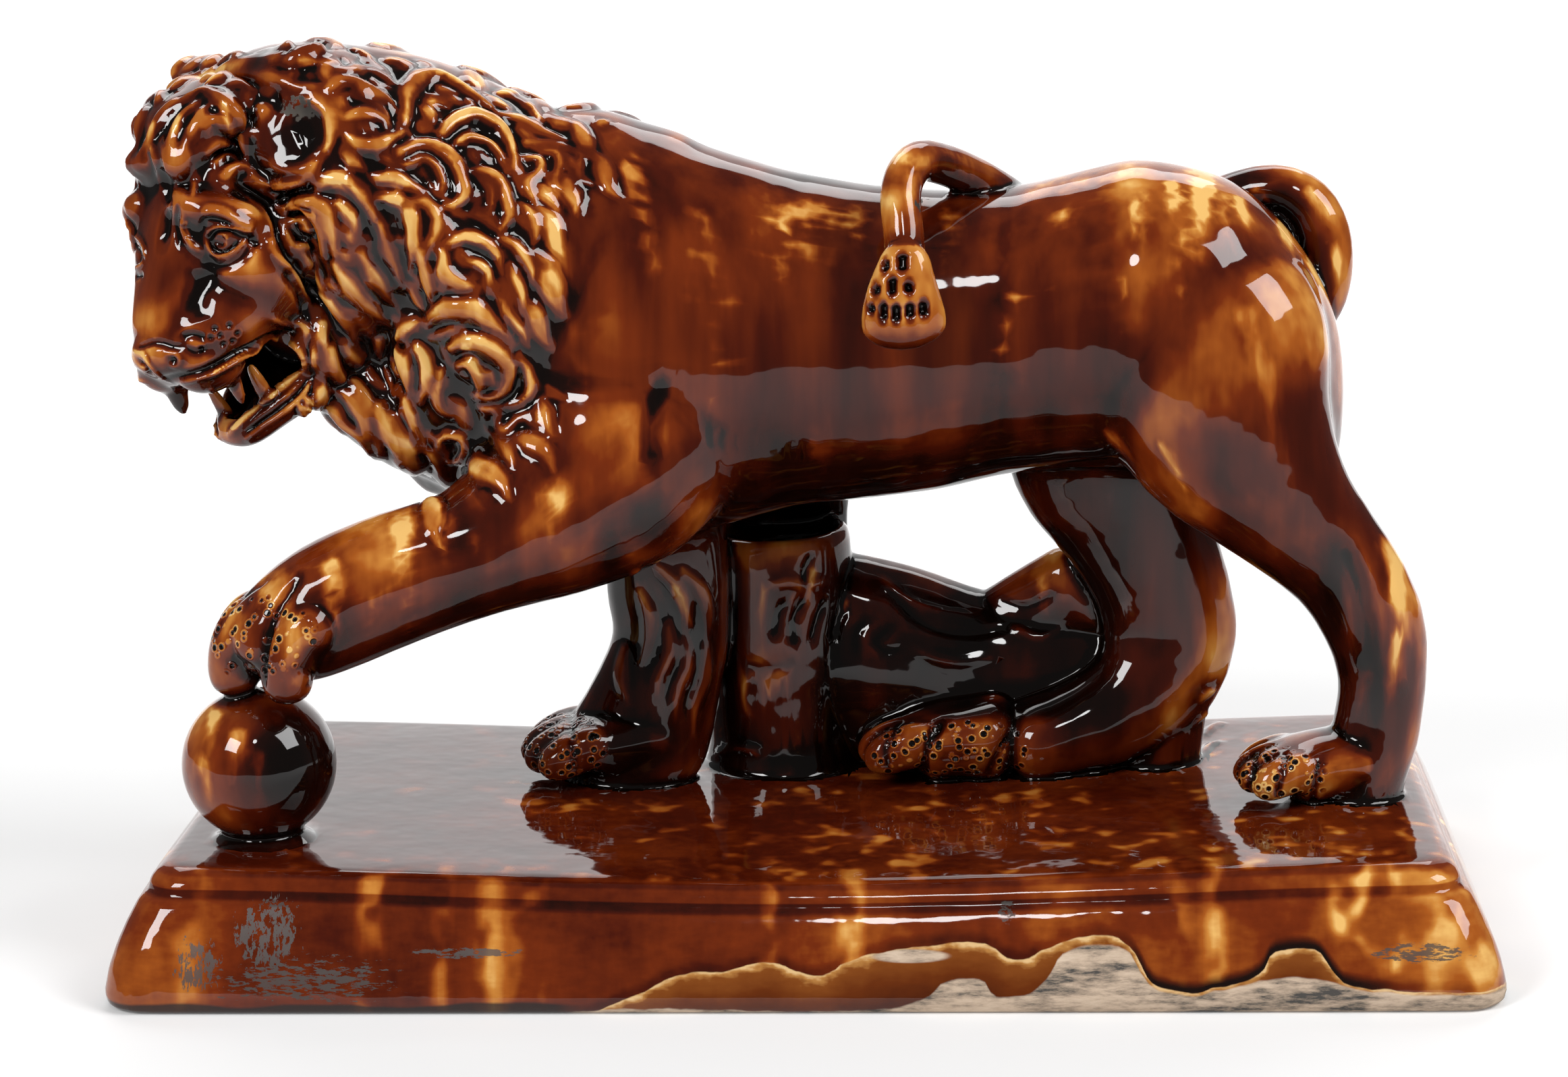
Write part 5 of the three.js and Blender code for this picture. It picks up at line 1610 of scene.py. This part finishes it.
def dress(piece):
    """The block's faces take the base's glaze, and all others the body's."""
    mesh = piece.data
    mesh.materials.clear()
    mesh.materials.append(treacle_glaze())
    mesh.materials.append(base_glaze())
    places = read(mesh, "co") / MM
    on_block = faces_among(mesh, places[:, 2] < slab_top(places[:, 0]) + BLOCK_REACH)
    mesh.polygons.foreach_set("material_index", on_block.astype(np.int32))
    mesh.update()


dress(lion)
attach(lion, "root")
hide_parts("lion_on_base")


# Floor, light and camera

# Each light's place and size in metres, and its power in watts. All face the figure.
LIGHTS = [("left_softbox", (-1.05, -1.25, 1.15), (0.6, 0.6), 22),
          ("right_softbox", (1.25, -0.5, 1.28), (0.88, 0.8), 23),
          ("front_lamp", (0.0, -1.0, 1.08), (0.15, 0.2), 1.8),
          ("back_softbox", (-0.1, 0.95, 1.25), (1.5, 0.5), 9)]
AIR = 0.12
PAPER = (0.78, 0.78, 0.78, 1)
# Each step of the paper's bend up behind the figure, the wall over it, and the flat part, in metres
BEND_STEP, WALL = 0.21, 3
PAPER_SIZE, PAPER_SHIFT = (3.6, 2.2, 1), (0, 0.5, 0)


def placed(name, data):
    """A light or a camera as an object in the scene."""
    made = bpy.data.objects.new(name, data)
    bpy.context.scene.collection.objects.link(made)
    return made


def studio():
    """A paper floor bent up behind the figure, four lights and an even pale air."""
    fresh()
    bpy.ops.mesh.primitive_plane_add(size=1, location=(0, 0, 0))
    floor = bpy.context.object
    floor.name = "floor"
    editing()
    bpy.ops.transform.resize(value=PAPER_SIZE)
    bpy.ops.transform.translate(value=PAPER_SHIFT)
    bpy.ops.mesh.select_all(action="DESELECT")
    bpy.ops.mesh.select_mode(type="EDGE")
    bpy.ops.object.mode_set(mode="OBJECT")
    for edge in floor.data.edges:
        edge.select = all(floor.data.vertices[k].co.y > 1 for k in edge.vertices)
    bpy.ops.object.mode_set(mode="EDIT")
    for turn in range(1, 10):
        angle = math.radians(10 * turn - 5)
        bpy.ops.mesh.extrude_region_move(TRANSFORM_OT_translate={
            "value": (0, BEND_STEP * math.cos(angle), BEND_STEP * math.sin(angle))})
    bpy.ops.mesh.extrude_region_move(TRANSFORM_OT_translate={"value": (0, 0, WALL)})
    closed(inside=True)
    bpy.ops.object.shade_smooth()
    paper = Finish("white_paper")
    depth = paper.node("ShaderNodeSeparateXYZ", None, paper.node("ShaderNodeTexCoord", out=3), out=1)
    glow = depth.between(0.2, 1.3) * 0.9 + 0.12
    lit = paper.node("ShaderNodeCombineColor", None, glow, glow, glow)
    paper_shader = paper.node("ShaderNodeBsdfPrincipled", None, Base_Color=PAPER, Roughness=0.9,
                              Specular_IOR_Level=0.0, Emission_Color=lit, Emission_Strength=1.0)
    paper.node("ShaderNodeOutputMaterial", None, paper_shader)
    floor.data.materials.append(paper.material)
    for name, place, size, power in LIGHTS:
        light = bpy.data.lights.new(name, "AREA")
        light.shape = "RECTANGLE" if "softbox" in name else "ELLIPSE"
        light.size, light.size_y = size
        light.energy = power
        lamp = placed(name, light)
        lamp.location = place
        lamp.rotation_euler = (Vector((0, 0, 0.1)) - Vector(place)).to_track_quat("-Z", "Y").to_euler()
    world = bpy.data.worlds.new("studio_air")
    world.use_nodes = True
    air = world.node_tree.nodes["Background"].inputs
    air[0].default_value = (1, 1, 1, 1)
    air[1].default_value = AIR
    bpy.context.scene.world = world


def camera():
    lens = bpy.data.cameras.new("camera")
    lens.lens, lens.sensor_width, lens.sensor_fit = LENS, SENSOR, "HORIZONTAL"
    lens.clip_start, lens.clip_end = 0.01, 100
    eye = placed("camera", lens)
    turn = Matrix((view_right, view_up, -view_forward)).transposed().to_4x4()
    eye.matrix_world = Matrix.Translation(EYE) @ turn
    bpy.context.scene.camera = eye


studio()
camera()
bpy.context.scene.view_settings.view_transform = "Standard"
